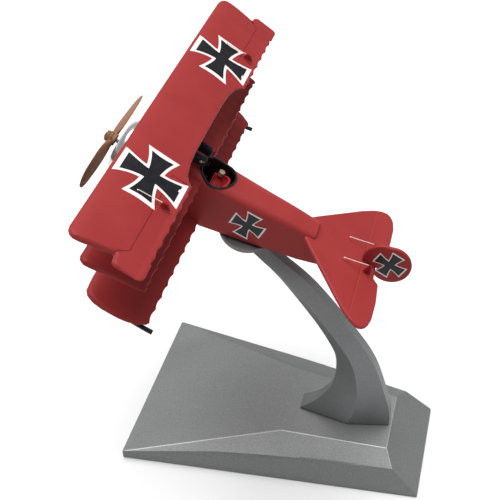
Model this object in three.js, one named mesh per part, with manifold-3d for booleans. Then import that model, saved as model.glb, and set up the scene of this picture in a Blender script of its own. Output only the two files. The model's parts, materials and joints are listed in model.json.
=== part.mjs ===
// A 1:72 display model of a three-winged fighter aircraft of 1917, on its cast stand.
// Units are millimetres and +Z is up. The origin is the middle of the stand's underside, on the shelf.
// The nose points along -X and the starboard wings along +Y.
import * as THREE from "three";
import { ConvexGeometry } from "three/addons/geometries/ConvexGeometry.js";
import { LoftGeometry } from "three/addons/geometries/LoftGeometry.js";
import { mergeVertices } from "three/addons/utils/BufferGeometryUtils.js";
import Module from "manifold-3d";

const wasm = await Module();
wasm.setup();

// ---------------------------------------------------------------- driving dimensions

const GAP = 0.3; // clearance between two pieces that meet

// Stand
const BASE_LENGTH = 85.8;
const BASE_FRONT_HALF_WIDTH = 26.6;
const BASE_REAR_HALF_WIDTH = 15.8;
const BASE_FRONT_HEIGHT = 3.3;
const BASE_REAR_LIP = 1.2;
const BASE_CREST = { x: 1.4, halfWidth: 11.7, z: 11.0 }; // where the sloping deck meets the plateau
const BASE_PLATEAU_END = { x: 31.9, halfWidth: 9.4, z: 11.2 };
const BASE_SHOULDER = { x: 34.5, z: 8.85 }; // rear end of the side walls' top edges
const BASE_WALL_LEAN = 0.3; // how far a side wall leans in for each millimetre it rises
const PAD_THICKNESS = 1.2;
const PAD_PROUD = 0.2; // the base rim stands this far above the shelf
const ARM_SCREW_X = [15.5, 25.0];

// Attitude of the aircraft and where it sits on the stand
const CLIMB_ANGLE = THREE.MathUtils.degToRad(27.54);
const AIRCRAFT_ORIGIN = { x: -32.9, z: 111.3 }; // leading edge of the upper wing, on the centre line
const SADDLE_STATION = 34.5; // distance aft of that leading edge
const SADDLE_RADIUS = 6.6;
const SADDLE_THICKNESS = 2.9;
const PEG_RADIUS = 1.5;
const PEG_HEIGHT = 5.0;

// Wings, in the aircraft's own frame: x aft, y to starboard, z up
// Each wing's z is the height of the line from its nose to its tail.
const WING_THICKNESS = 1.65;
const UPPER_SHARE = 0.72; // part of the thickness above that line
const UPPER = { front: -0.9, rear: 16.4, halfSpan: 48.9, hornHalfSpan: 50.0, z: -0.5 };
const MIDDLE = { front: 3.4, rear: 18.6, halfSpan: 43.8, z: -12.2 };
const LOWER = { front: 7.9, rear: 23.0, halfSpan: 42.3, z: -24.1 };
const ABOVE_WING = 1.5; // a fitting that stands on a wing starts this far above its line
const BELOW_WING = 0.8; // a fitting that meets a wing from below ends this far under its line
const STRUT_Y = 30.5;
const STRUT_CHORD = 3.4;
const STRUT_THICKNESS = 0.9;

// Fuselage
const THRUST_LINE_Z = -19.0;
const HULL_FRONT = 3.6;
const HULL_REAR = 65.0;
const DECK_END = 48.5;
const CABIN_REAR = 42; // the hull is hollow from its front to here
const HULL_WALL = 0.9;
const LONGERON_Z = -12.2;
const BELLY_BREAK = { x: 23.7, z: -25.3 }; // where the belly starts to rise to the tail
const TAIL_BOTTOM_Z = -15.3;
const COAMING_RADIUS = 0.5;
const BELLY_HATCH = { from: 29, to: 40, halfWidth: 2.0 };
const COCKPIT = { x: 20.6, halfLength: 4.6, halfWidth: 4.7 };
const GUN = { x: -1.4, y: 2.2, z: -8.0 }; // where a gun's own frame stands

// Nose
const COWL_RADIUS = 7.3;
const COWL_FRONT = -3.5;
const COWL_REAR = 2.9;
const COWL_MOUTH_RADIUS = 4.4;
const PROPELLER_X = -5.3;
const PROPELLER_RADIUS = 18.5;
const PROPELLER_REST_ANGLE = THREE.MathUtils.degToRad(2);
const CYLINDERS = 9;

// Tail
const TAILPLANE_Z = -10.4; // top surface
const TAILPLANE_THICKNESS = 1.1;
const RUDDER = {
  x: 68.3,
  z: -7.3,
  radius: 5.7,
  thickness: 1.0,
  front: { x: 65.6, z: -7.6, radiusX: 5.6, radiusZ: 5.2 }, // the part ahead of the hinge line
};

// Undercarriage
const AXLE = { x: 5.6, z: -34.6, radius: 0.5, halfLength: 12.9 };
const WHEEL = { y: 11.3, radius: 5.0, rimRadius: 3.8, halfWidth: 0.95 };
const LEG_FOOT_Y = 8.7;

// ---------------------------------------------------------------- shape helpers

const v3 = (x, y, z) => new THREE.Vector3(x, y, z);
const FORE_AND_AFT = v3(1, 0, 0);
const ACROSS = v3(0, 1, 0);
const UP = v3(0, 0, 1);

function solidFrom(geometry) {
  const bare = new THREE.BufferGeometry();
  const source = geometry.index ? geometry.toNonIndexed() : geometry;
  bare.setAttribute("position", source.getAttribute("position"));
  const merged = mergeVertices(bare, 1e-4);
  const mesh = new wasm.Mesh({
    numProp: 3,
    vertProperties: new Float32Array(merged.attributes.position.array),
    triVerts: new Uint32Array(merged.index.array),
  });
  return new wasm.Manifold(mesh);
}

function geometryFrom(solid) {
  const mesh = solid.getMesh();
  const geometry = new THREE.BufferGeometry();
  const positions = new THREE.BufferAttribute(new Float32Array(mesh.vertProperties), 3);
  geometry.setAttribute("position", positions);
  geometry.setIndex(Array.from(mesh.triVerts));
  return geometry;
}

const joined = (...shapes) =>
  geometryFrom(shapes.map(solidFrom).reduce((whole, next) => whole.add(next)));

const cut = (shape, ...tools) =>
  geometryFrom(tools.map(solidFrom).reduce((rest, tool) => rest.subtract(tool), solidFrom(shape)));

const common = (shape, other) => geometryFrom(solidFrom(shape).intersect(solidFrom(other)));

// Six times the volume inside a closed surface: below zero where its faces point inwards.
function signedVolume(geometry) {
  const position = (geometry.index ? geometry.toNonIndexed() : geometry).getAttribute("position");
  const [a, b, c] = [v3(), v3(), v3()];
  let volume = 0;
  for (let i = 0; i < position.count; i += 3) {
    a.fromBufferAttribute(position, i);
    b.fromBufferAttribute(position, i + 1);
    c.fromBufferAttribute(position, i + 2);
    volume += a.dot(b.cross(c));
  }
  return volume;
}

// A closed skin through rings of points. The rings are turned round where the faces would point in.
function loft(rings) {
  const build = (sections) => new LoftGeometry(sections, { capStart: true, capEnd: true });
  const geometry = build(rings);
  return signedVolume(geometry) > 0 ? geometry : build(rings.map((ring) => [...ring].reverse()));
}

const box = (x0, x1, y0, y1, z0, z1) =>
  new THREE.BoxGeometry(x1 - x0, y1 - y0, z1 - z0).translate(
    (x0 + x1) / 2,
    (y0 + y1) / 2,
    (z0 + z1) / 2,
  );

// A straight round bar between two points, with its two radii.
function bar(from, to, radiusFrom, radiusTo = radiusFrom, sides = 12) {
  const along = to.clone().sub(from);
  const geometry = new THREE.CylinderGeometry(radiusTo, radiusFrom, along.length(), sides);
  const turn = new THREE.Quaternion().setFromUnitVectors(ACROSS, along.clone().normalize());
  return geometry.applyQuaternion(turn).translate(...from.clone().add(to).multiplyScalar(0.5));
}

// A round rod bent along a smooth curve through the given points.
function rod(points, radius, steps = 12, sides = 8) {
  const section = new THREE.Shape().absarc(0, 0, radius, 0, 2 * Math.PI);
  return new THREE.ExtrudeGeometry(section, {
    steps,
    curveSegments: sides / 2,
    bevelEnabled: false,
    extrudePath: new THREE.CatmullRomCurve3(points),
  });
}

// A profile of [radius, along] pairs turned about the aircraft's long axis, or another direction.
function turned(profile, direction = FORE_AND_AFT, sides = 36) {
  const points = profile.map(([radius, along]) => new THREE.Vector2(radius, along));
  const turn = new THREE.Quaternion().setFromUnitVectors(ACROSS, direction);
  const build = (outline) => new THREE.LatheGeometry(outline, sides).applyQuaternion(turn);
  const geometry = build(points);
  return signedVolume(geometry) > 0 ? geometry : build([...points].reverse());
}

// A streamlined strut: a lens section with its chord along x, skinned between two points.
function strut(from, to, chord = STRUT_CHORD, thickness = STRUT_THICKNESS) {
  const ring = (centre) =>
    Array.from({ length: 12 }, (_, i) => {
      const a = (i / 12) * 2 * Math.PI;
      const side = Math.sign(Math.sin(a)) * Math.abs(Math.sin(a)) ** 1.3;
      return v3(centre.x + (chord / 2) * Math.cos(a), centre.y + (thickness / 2) * side, centre.z);
    });
  return loft([ring(from), ring(to)]);
}

// ---------------------------------------------------------------- wings

const EDGE = 0.26; // half thickness of a trailing edge

// Height of the skin at a fraction of the chord: 0 at both ends, and 1 at its highest.
const aerofoilHeight = (fraction) => 2.271 * fraction ** 0.4 * (1 - fraction) ** 0.95;

// One rib outline from x = front to x = rear.
function rib(y, front, rear, thickness, lineZ, points = 8) {
  const at = (fraction, share) => {
    const height = Math.max(Math.abs(share) * thickness * aerofoilHeight(fraction), EDGE * fraction);
    return v3(front + (rear - front) * fraction, y, lineZ + Math.sign(share) * height);
  };
  const fractions = Array.from({ length: points }, (_, i) => (i / points) ** 1.7);
  const over = fractions.slice(1).reverse().map((fraction) => at(fraction, UPPER_SHARE));
  const under = fractions.map((fraction) => at(fraction, UPPER_SHARE - 1));
  return [at(1, UPPER_SHARE), ...over, ...under, at(1, UPPER_SHARE - 1)];
}

// A wing skinned through its stations, each [y, front, rear, share of the full thickness].
const wing = (stations, lineZ) =>
  loft(stations.map(([y, front, rear, share = 1]) => rib(y, front, rear, WING_THICKNESS * share, lineZ)));

const mirrored = (stations) => [
  ...stations.map(([y, ...rest]) => [-y, ...rest]).reverse(),
  ...stations.filter(([y]) => y > 0),
];

function upperWing() {
  const { front, rear, halfSpan, hornHalfSpan, z } = UPPER;
  const cutout = rear - 3.2;
  const hornFront = 9.2;
  const half = [
    [0, front, cutout],
    [10, front, cutout],
    [17.5, front, cutout + 0.7],
    [20.5, front, rear],
    [36, front, rear],
    [halfSpan - 2.0, front, rear],
    [halfSpan - 1.4, front, hornFront + 0.4],
    [halfSpan - 0.6, front + 0.3, front + 6.4, 0.8],
    [halfSpan, front + 1.0, front + 3.2, 0.4],
  ];
  const horn = (side) =>
    wing([
      [side * 44, hornFront, rear, 0.5],
      [side * (hornHalfSpan - 0.8), hornFront + 0.1, rear, 0.5],
      [side * hornHalfSpan, hornFront + 0.7, rear - 0.7, 0.25],
    ], z);
  return joined(wing(mirrored(half), z), horn(1), horn(-1));
}

function middleWingPanel(side, hull) {
  const { front, rear, halfSpan, z } = MIDDLE;
  const stations = [
    [side * 4.4, front, rear],
    [side * 20, front, rear],
    [side * (halfSpan - 3.3), front, rear],
    [side * (halfSpan - 1.7), front + 0.2, rear - 0.1, 0.95],
    [side * (halfSpan - 0.8), front + 0.7, front + 8.5, 0.75],
    [side * halfSpan, front + 1.6, front + 4, 0.4],
  ];
  return cut(wing(stations, z), hull);
}

// The lower wing is one casting from tip to tip, and its middle forms the belly of the fuselage.
function lowerWing(hull) {
  const { front, rear, halfSpan, z } = LOWER;
  const half = [
    [0, front, rear],
    [20, front, rear],
    [halfSpan - 6, front, rear],
    [halfSpan - 3, front + 0.5, rear],
    [halfSpan - 1.4, front + 1.4, rear - 1.9, 0.9],
    [halfSpan - 0.5, front + 2.7, rear - 4.1, 0.7],
    [halfSpan, front + 5.2, rear - 6.2, 0.4],
  ];
  const belly = common(hull, box(front - 0.3, rear + 0.4, -10, 10, -40, z));
  return joined(wing(mirrored(half), z), belly);
}

// ---------------------------------------------------------------- fuselage

// Hull stations: x, half width, top, height of the widest line, bottom, squareness of the lower part.
const HULL_STATIONS = [
  { x: HULL_FRONT, halfWidth: 7.1, top: -12.1, waist: THRUST_LINE_Z, bottom: -26.3, square: 2 },
  { x: 8, halfWidth: 6.3, top: -11.0, waist: -17.4, bottom: -26.1, square: 2.8 },
  { x: 13, halfWidth: 5.5, top: -10.1, waist: -14.6, bottom: -25.9, square: 5 },
  { x: 18, halfWidth: 5.1, top: -10.3, waist: LONGERON_Z, bottom: -25.6, square: 12 },
  { x: BELLY_BREAK.x, halfWidth: 4.9, top: -10.2, waist: LONGERON_Z, bottom: BELLY_BREAK.z, square: 16 },
  { x: 34, halfWidth: 4.3, top: -9.6, waist: LONGERON_Z + 0.1, square: 16 },
  { x: 42, halfWidth: 3.8, top: -9.3, waist: LONGERON_Z + 0.3, square: 16 },
  { x: DECK_END, halfWidth: 3.3, top: -9.4, waist: LONGERON_Z + 0.5, square: 16 },
  { x: 57, halfWidth: 1.6, top: -10.2, waist: LONGERON_Z + 0.3, square: 16 },
  { x: HULL_REAR, halfWidth: 0.6, top: -11.4, waist: LONGERON_Z - 0.2, square: 16 },
];

function bellyHeight(x) {
  const slope = (TAIL_BOTTOM_Z - BELLY_BREAK.z) / (HULL_REAR - BELLY_BREAK.x);
  return BELLY_BREAK.z + slope * (x - BELLY_BREAK.x);
}

// One cross-section of the hull, grown outwards by a margin, or shrunk when it is negative.
function hullRing(station, margin, points = 24) {
  const { x, halfWidth, top, waist, square } = station;
  const bottom = station.bottom ?? bellyHeight(x);
  const power = (value, exponent) => Math.sign(value) * Math.abs(value) ** (2 / exponent);
  return Array.from({ length: points }, (_, i) => {
    const a = (i / points) * 2 * Math.PI;
    const upper = Math.sin(a) >= 0;
    const exponent = upper ? 2 : square;
    const reach = upper ? top - waist : waist - bottom;
    const y = (halfWidth + margin) * power(Math.cos(a), exponent);
    return v3(x, y, waist + (reach + margin) * power(Math.sin(a), exponent));
  });
}

function hullSolid(margin, from = HULL_FRONT, to = HULL_REAR) {
  const stations = HULL_STATIONS.filter(({ x }) => x >= from && x <= to);
  const rings = stations.map((station) => hullRing(station, margin));
  if (margin !== 0) {
    const push = Math.sign(margin) > 0 ? margin : 2; // an inner tool runs out of the open front
    rings.unshift(rings[0].map((p) => p.clone().setX(p.x - push)));
  }
  return loft(rings);
}

// Height of the top deck over a point, read between the two nearest stations.
function deckHeight(x, y) {
  const next = HULL_STATIONS.findIndex((station) => station.x > x);
  const [a, b] = [HULL_STATIONS[next - 1], HULL_STATIONS[next]];
  const mix = (key) => THREE.MathUtils.mapLinear(x, a.x, b.x, a[key], b[key]);
  const across = Math.min(Math.abs(y) / mix("halfWidth"), 1);
  return mix("waist") + (mix("top") - mix("waist")) * Math.sqrt(1 - across ** 2);
}

// The cockpit's padded rim follows the top deck round the opening.
function coaming(radius) {
  const count = 26;
  const points = Array.from({ length: count }, (_, i) => {
    const a = (i / count) * 2 * Math.PI;
    const x = COCKPIT.x + COCKPIT.halfLength * Math.cos(a);
    const y = COCKPIT.halfWidth * Math.sin(a);
    return v3(x, y, deckHeight(x, y) + 0.1);
  });
  const curve = new THREE.CatmullRomCurve3(points, true);
  return new THREE.TubeGeometry(curve, count, radius, 7, true);
}

function cockpitOpening() {
  const outline = new THREE.Shape();
  outline.absellipse(0, 0, COCKPIT.halfLength, COCKPIT.halfWidth, 0, 2 * Math.PI);
  const depth = 8;
  return new THREE.ExtrudeGeometry(outline, { depth, bevelEnabled: false, curveSegments: 14 })
    .translate(COCKPIT.x, 0, LONGERON_Z + 0.3);
}

function fuselage() {
  const tailSlot = box(45.9, 72, -12, 12, TAILPLANE_Z - TAILPLANE_THICKNESS - GAP, TAILPLANE_Z + GAP);
  const aboveTail = box(DECK_END, 72, -12, 12, TAILPLANE_Z, 0);
  const wingRecess = box(LOWER.front - 0.6, LOWER.rear + 0.7, -10, 10, -40, LOWER.z + ABOVE_WING);
  const { from, to } = BELLY_HATCH;
  const hatchHalfWidth = BELLY_HATCH.halfWidth + GAP;
  const hatch = box(from - GAP, to + GAP, -hatchHalfWidth, hatchHalfWidth, -30, -16.5);
  const shell = cut(
    hullSolid(0),
    hullSolid(-HULL_WALL, HULL_FRONT, CABIN_REAR),
    cockpitOpening(),
    coaming(COAMING_RADIUS + GAP),
    tailSlot,
    aboveTail,
    wingRecess,
    hatch,
  );
  return shell;
}

// The belly insert carries the socket for the stand's peg. It is cut to the hull's outline.
function bellyInsert(pegTool) {
  const { from, to, halfWidth } = BELLY_HATCH;
  const block = box(from, to, -halfWidth, halfWidth, -30, -16.8);
  return cut(common(hullSolid(0), block), pegTool);
}

// ---------------------------------------------------------------- nose

function cowling() {
  const wall = 0.7;
  const lip = 2.8; // radius of the rounded front
  const outer = new THREE.Path();
  outer.moveTo(COWL_MOUTH_RADIUS, COWL_FRONT + 0.5);
  outer.lineTo(COWL_MOUTH_RADIUS, COWL_FRONT);
  outer.lineTo(COWL_RADIUS - lip, COWL_FRONT);
  outer.absarc(COWL_RADIUS - lip, COWL_FRONT + lip, lip, -Math.PI / 2, 0);
  outer.lineTo(COWL_RADIUS, COWL_REAR);
  outer.lineTo(COWL_RADIUS - wall, COWL_REAR);
  outer.lineTo(COWL_RADIUS - wall, COWL_FRONT + lip);
  outer.absarc(COWL_RADIUS - lip, COWL_FRONT + lip, lip - wall, 0, -Math.PI / 2, true);
  outer.closePath();
  const profile = outer.getPoints(4).map((p) => [p.x, p.y]);
  const shell = turned(profile, FORE_AND_AFT, 30);
  const scoop = box(COWL_FRONT - 1, COWL_REAR - 2.4, -2.6, 2.6, -COWL_RADIUS - 1, -3);
  return cut(shell, scoop);
}

function rotaryEngine() {
  const finned = [[0, 1.4], [0.85, 1.4]];
  for (let fin = 0; fin < 3; fin++) {
    const start = 2.5 + fin * 1.2;
    finned.push([0.85, start], [1.1, start + 0.1], [1.1, start + 0.6], [0.85, start + 0.7]);
  }
  finned.push([0.6, 6.2], [0, 6.2]);
  const cylinders = Array.from({ length: CYLINDERS }, (_, i) => {
    const a = (i / CYLINDERS) * 2 * Math.PI;
    return turned(finned, v3(0, Math.sin(a), Math.cos(a)), 7);
  });
  const crankcase = turned([[0, -1.9], [1.9, -1.9], [2.5, -1.2], [2.5, 1.6], [0, 1.6]], FORE_AND_AFT, 18);
  const bore = bar(v3(-4, 0, 0), v3(0.8, 0, 0), 0.9);
  return cut(joined(crankcase, ...cylinders), bore);
}

// A two-bladed airscrew with a carved twist, along the y axis before it is turned to rest.
function propeller() {
  const section = (radius, chord, thickness, pitch) =>
    Array.from({ length: 12 }, (_, i) => {
      const a = (i / 12) * 2 * Math.PI;
      const point = v3((thickness / 2) * Math.sin(a), radius, (chord / 2) * Math.cos(a));
      return point.applyAxisAngle(ACROSS, THREE.MathUtils.degToRad(pitch));
    });
  const blade = (turn) => loft([
    section(0.4, 1.5, 1.4, 46),
    section(1.6, 1.7, 1.3, 44),
    section(3, 2.3, 1.05, 38),
    section(5, 3.3, 0.85, 32),
    section(8, 4.1, 0.68, 27),
    section(11.5, 4.3, 0.55, 24),
    section(15, 4.0, 0.45, 22),
    section(17, 3.1, 0.36, 21),
    section(18, 1.9, 0.3, 21),
    section(PROPELLER_RADIUS, 0.7, 0.22, 21),
  ]).rotateX(turn);
  const hub = bar(v3(-0.75, 0, 0), v3(1.0, 0, 0), 1.6, 1.6, 24);
  return cut(joined(hub, blade(0), blade(Math.PI)), bar(v3(-2, 0, 0), v3(2, 0, 0), 0.85));
}

// The hub plate in front of the airscrew, with its ring of bolt heads.
function hubPlate() {
  const plate = turned([[0, -0.75], [0.7, -0.7], [0.75, -0.3], [1.35, -0.25], [1.35, 0.25], [0, 0.25]]);
  const bolts = Array.from({ length: 6 }, (_, i) => {
    const a = (i / 6) * 2 * Math.PI;
    const at = v3(-0.1, 1.04 * Math.cos(a), 1.04 * Math.sin(a));
    return bar(at, at.clone().add(v3(-0.35, 0, 0)), 0.18, 0.18, 6);
  });
  return joined(plate, ...bolts);
}

// ---------------------------------------------------------------- guns and cockpit fittings

function machineGun() {
  const jacket = bar(v3(4.2, 0, 0), v3(13.2, 0, 0), 0.62, 0.62, 12);
  const muzzle = bar(v3(3.2, 0, 0), v3(4.5, 0, 0), 0.35, 0.45, 12);
  const receiver = box(12.8, 18.2, -0.6, 0.6, -1.5, 0.75);
  const feed = box(13.4, 15.4, -0.95, 0.95, -0.5, 0.3);
  const grip = box(17.8, 18.9, -0.3, 0.3, -0.9, 0.3);
  const post = box(14, 15.1, -0.3, 0.3, -2, -1);
  return joined(jacket, muzzle, receiver, feed, grip, post);
}

// A bucket seat on a pedestal, with its arms lower than its back.
function pilotSeat() {
  const outside = box(20.4, 24.2, -2.8, 2.8, -15.8, -11.9);
  const pedestal = box(21.5, 23.5, -1.2, 1.2, -19.3, -15);
  const hollow = box(19.5, 23.7, -2.3, 2.3, -15, -9);
  const frontCut = box(19.5, 22.7, -4, 4, -13.7, -9);
  return cut(joined(outside, pedestal), hollow, frontCut);
}

// ---------------------------------------------------------------- tail

function tailplane() {
  const tip = 20.8;
  const half = [
    [0, 46.2, 66.2],
    [3.9, 46.3, 66.3],
    [5, 47.3, 67.9],
    [11, 53.2, 68.5],
    [16.4, 58.5, 68.4],
    [18.6, 61.0, 67.9],
    [20.0, 63.0, 67.1, 0.8],
    [tip, 64.9, 66.1, 0.45],
  ];
  const stations = mirrored(half);
  const middle = TAILPLANE_Z - TAILPLANE_THICKNESS / 2;
  const ring = ([y, front, rear, share = 1]) =>
    Array.from({ length: 16 }, (_, i) => {
      const a = (i / 16) * 2 * Math.PI;
      const z = Math.sign(Math.sin(a)) * Math.abs(Math.sin(a)) ** 0.7;
      const x = (front + rear) / 2 + ((rear - front) / 2) * Math.cos(a);
      return v3(x, y, middle + ((TAILPLANE_THICKNESS * share) / 2) * z);
    });
  return loft(stations.map(ring));
}

// The comma-shaped rudder: a round blade that reaches forward over the stern post.
function rudder() {
  const { x, z, radius, thickness } = RUDDER;
  const bevel = 0.3;
  const blade = (centreX, centreZ, radiusX, radiusZ, turn) => {
    const outline = new THREE.Shape();
    outline.absellipse(centreX, centreZ, radiusX, radiusZ, 0, 2 * Math.PI, false, turn);
    return new THREE.ExtrudeGeometry(outline, {
      depth: thickness - 2 * bevel,
      bevelEnabled: true,
      bevelThickness: bevel,
      bevelSize: bevel,
      bevelOffset: -bevel,
      bevelSegments: 1,
      curveSegments: 20,
    })
      .translate(0, 0, -thickness / 2 + bevel)
      .rotateX(Math.PI / 2);
  };
  const { front } = RUDDER;
  return joined(
    blade(x, z, radius * 0.9, radius, 0.25),
    blade(front.x, front.z, front.radiusX, front.radiusZ, 0),
  );
}

// ---------------------------------------------------------------- undercarriage

function tyre() {
  const { radius, rimRadius, halfWidth } = WHEEL;
  const section = new THREE.Path();
  const round = (radius - rimRadius) * 0.95;
  const foot = halfWidth * 0.8; // half width where the tyre meets the rim
  const bulge = halfWidth * 1.15;
  section.moveTo(rimRadius, -foot);
  section.bezierCurveTo(radius - round * 0.4, -bulge, radius, -foot, radius, 0);
  section.bezierCurveTo(radius, foot, radius - round * 0.4, bulge, rimRadius, foot);
  section.closePath();
  return turned(section.getPoints(3).map((p) => [p.x, p.y]), ACROSS, 26);
}

function wheelCover() {
  const rim = WHEEL.rimRadius - GAP;
  const bore = AXLE.radius + GAP;
  const profile = [
    [bore, -1.25], [1.1, -1.25], [rim, -0.6], [rim, 0.6], [1.1, 1.25], [bore, 1.25], [bore, -1.25],
  ];
  return turned(profile, ACROSS, 26);
}

function undercarriageVee(side) {
  const foot = v3(AXLE.x, side * LEG_FOOT_Y, AXLE.z + 1.35);
  const front = strut(v3(4.9, side * 4.3, -25.9), foot, 1.3, 0.7);
  const rear = strut(v3(13.6, side * 4.3, -26.6), foot, 1.3, 0.7);
  const shoe = box(AXLE.x - 1.3, AXLE.x + 1.3, foot.y - 0.5, foot.y + 0.5, AXLE.z - 1.3, AXLE.z + 1.6);
  const axleHole = bar(v3(AXLE.x, foot.y - 2, AXLE.z), v3(AXLE.x, foot.y + 2, AXLE.z), AXLE.radius + GAP);
  return cut(joined(front, rear, shoe), axleHole);
}

function axleFairing() {
  const end = LEG_FOOT_Y - 0.85;
  const ring = (y) =>
    Array.from({ length: 18 }, (_, i) => {
      const a = (i / 18) * 2 * Math.PI;
      return v3(AXLE.x + 0.5 + 3.1 * Math.cos(a), y, AXLE.z + 1.15 * Math.sin(a));
    });
  const bore = bar(v3(AXLE.x, -20, AXLE.z), v3(AXLE.x, 20, AXLE.z), AXLE.radius + 0.25);
  return cut(loft([ring(-end), ring(end)]), bore);
}

// ---------------------------------------------------------------- stand

// A wedge with leaning side walls. Its deck slopes up to a plateau, between two ridges.
function baseBlock() {
  const half = BASE_LENGTH / 2;
  const { lerp, mapLinear } = THREE.MathUtils;
  // The top edge of a side wall arches up from the front corner to the shoulder.
  const wallTop = (t) => {
    const x = lerp(-half, BASE_SHOULDER.x, t);
    const z = lerp(BASE_SHOULDER.z, BASE_FRONT_HEIGHT, (1 - t) ** 2.2);
    const foot = mapLinear(x, -half, half, BASE_FRONT_HALF_WIDTH, BASE_REAR_HALF_WIDTH);
    return [x, foot - BASE_WALL_LEAN * (z - PAD_PROUD), z];
  };
  const steps = 8;
  const start = 0.12; // nearer the corner than this, the wall's top edge and the ridge are one
  const corners = [
    [-half, BASE_FRONT_HALF_WIDTH, PAD_PROUD],
    [half, BASE_REAR_HALF_WIDTH, PAD_PROUD],
    [-half, BASE_FRONT_HALF_WIDTH, BASE_FRONT_HEIGHT],
    [half, BASE_REAR_HALF_WIDTH, BASE_REAR_LIP],
    [BASE_CREST.x, BASE_CREST.halfWidth, BASE_CREST.z],
    [BASE_PLATEAU_END.x, BASE_PLATEAU_END.halfWidth, BASE_PLATEAU_END.z],
    ...Array.from({ length: steps + 1 }, (_, i) => wallTop(lerp(start, 1, i / steps))),
  ];
  return new ConvexGeometry(corners.flatMap(([x, y, z]) => [v3(x, y, z), v3(x, -y, z)]));
}

function padShape(inset, z0, z1) {
  const front = -BASE_LENGTH / 2 + inset;
  const rear = BASE_LENGTH / 2 - inset;
  const outline = new THREE.Shape([
    new THREE.Vector2(front, -BASE_FRONT_HALF_WIDTH + inset),
    new THREE.Vector2(rear, -BASE_REAR_HALF_WIDTH + inset),
    new THREE.Vector2(rear, BASE_REAR_HALF_WIDTH - inset),
    new THREE.Vector2(front, BASE_FRONT_HALF_WIDTH - inset),
  ]);
  return new THREE.ExtrudeGeometry(outline, { depth: z1 - z0, bevelEnabled: false }).translate(0, 0, z0);
}

const SCREW = { headRadius: 2.1, headHeight: 1.5, shankRadius: 0.95, headZ: 3.4, tipZ: 17.5 };

// An upright round rod over a point of the stand's centre line.
const rodUp = (x, z0, z1, radius, sides = 16) => bar(v3(x, 0, z0), v3(x, 0, z1), radius, radius, sides);

function standBase() {
  const recess = padShape(2.2, -1, PAD_THICKNESS + GAP);
  const headTop = SCREW.headZ + SCREW.headHeight + GAP;
  const holes = ARM_SCREW_X.flatMap((x) => [
    rodUp(x, 0, headTop, SCREW.headRadius + GAP, 24),
    rodUp(x, 0, 20, SCREW.shankRadius + GAP),
  ]);
  return cut(baseBlock(), recess, ...holes);
}

function armScrew(x) {
  const { headRadius, headHeight, shankRadius, headZ, tipZ } = SCREW;
  const head = bar(v3(x, 0, headZ), v3(x, 0, headZ + headHeight), headRadius * 0.85, headRadius, 24);
  const shank = rodUp(x, headZ, tipZ, shankRadius);
  const slot = box(x - 3, x + 3, -0.25, 0.25, headZ - 1, headZ + 0.7);
  return cut(joined(head, shank), slot);
}

// The arm stands on the plateau, leans forward over the base and narrows up to the saddle.
// Its front face is broad at the foot and narrows to a blunt edge, and it is widest at a crease.
function standArm() {
  const footZ = BASE_PLATEAU_END.z + GAP;
  const curve = (points) => new THREE.SplineCurve(points.map(([x, z]) => new THREE.Vector2(x, z)));
  const front = curve([
    [4.9, footZ], [7.7, 14.1], [10.4, 17.4], [13.2, 23.2], [14.0, 29.0], [13.6, 35.4],
    [11.7, 40.2], [6.7, 48.4], [-2.9, 61.2], [-10.0, 68.5], [-13.8, 72.2],
  ]);
  const rear = curve([
    [31.2, footZ], [30.6, 17.5], [28.6, 24.5], [24.0, 36.9], [16.9, 47.6],
    [5.6, 61.5], [-4.0, 69.5], [-7.8, 73.0],
  ]);
  const steps = 26;
  const { lerp } = THREE.MathUtils;
  const ring = (_, i) => {
    const t = i / steps;
    const f = front.getPointAt(t);
    const r = rear.getPointAt(t);
    const edge = lerp(0.7, 2.6, (1 - t) ** 5);
    const crease = lerp(0.55, 0.45, t);
    const halfWidth = lerp(4.5, 3.2, t);
    const blunt = lerp(1.6, 1.3, t);
    const c = f.clone().lerp(r, crease);
    return [
      v3(f.x, -edge, f.y),
      v3(f.x, edge, f.y),
      v3(c.x, halfWidth, c.y),
      v3(r.x, blunt, r.y),
      v3(r.x, -blunt, r.y),
      v3(c.x, -halfWidth, c.y),
    ];
  };
  return loft(Array.from({ length: steps + 1 }, ring));
}

// A shallow round cup that the belly of the fuselage lies on.
function saddle() {
  const t = SADDLE_THICKNESS;
  const r = SADDLE_RADIUS;
  const profile = [
    [0, -t], [r * 0.5, -t], [r * 0.78, -t * 0.8], [r * 0.94, -t * 0.45], [r, -0.45], [r, -0.1],
    [r - 0.1, 0], [0, 0],
  ];
  return turned(profile, UP, 40);
}

const peg = (margin) => {
  const radius = PEG_RADIUS + margin;
  const top = PEG_HEIGHT + margin;
  const foot = -1.8 - margin;
  const profile = [[0, foot], [radius, foot], [radius, top - 0.5], [radius - 0.5, top], [0, top]];
  return turned(profile, UP, 24);
};

// ---------------------------------------------------------------- assembly

const model = new THREE.Group();
const aircraft = new THREE.Group();
aircraft.position.set(AIRCRAFT_ORIGIN.x, 0, AIRCRAFT_ORIGIN.z);
aircraft.rotation.y = CLIMB_ANGLE;
model.add(aircraft);

// The seat's frame: its origin is on the belly, and its z axis stands square to the belly.
const seat = new THREE.Group();
const bellySlope = Math.atan2(TAIL_BOTTOM_Z - BELLY_BREAK.z, HULL_REAR - BELLY_BREAK.x);
seat.position.set(SADDLE_STATION, 0, bellyHeight(SADDLE_STATION) - GAP);
seat.rotation.y = -bellySlope;
aircraft.add(seat);
model.updateMatrixWorld(true);

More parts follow.
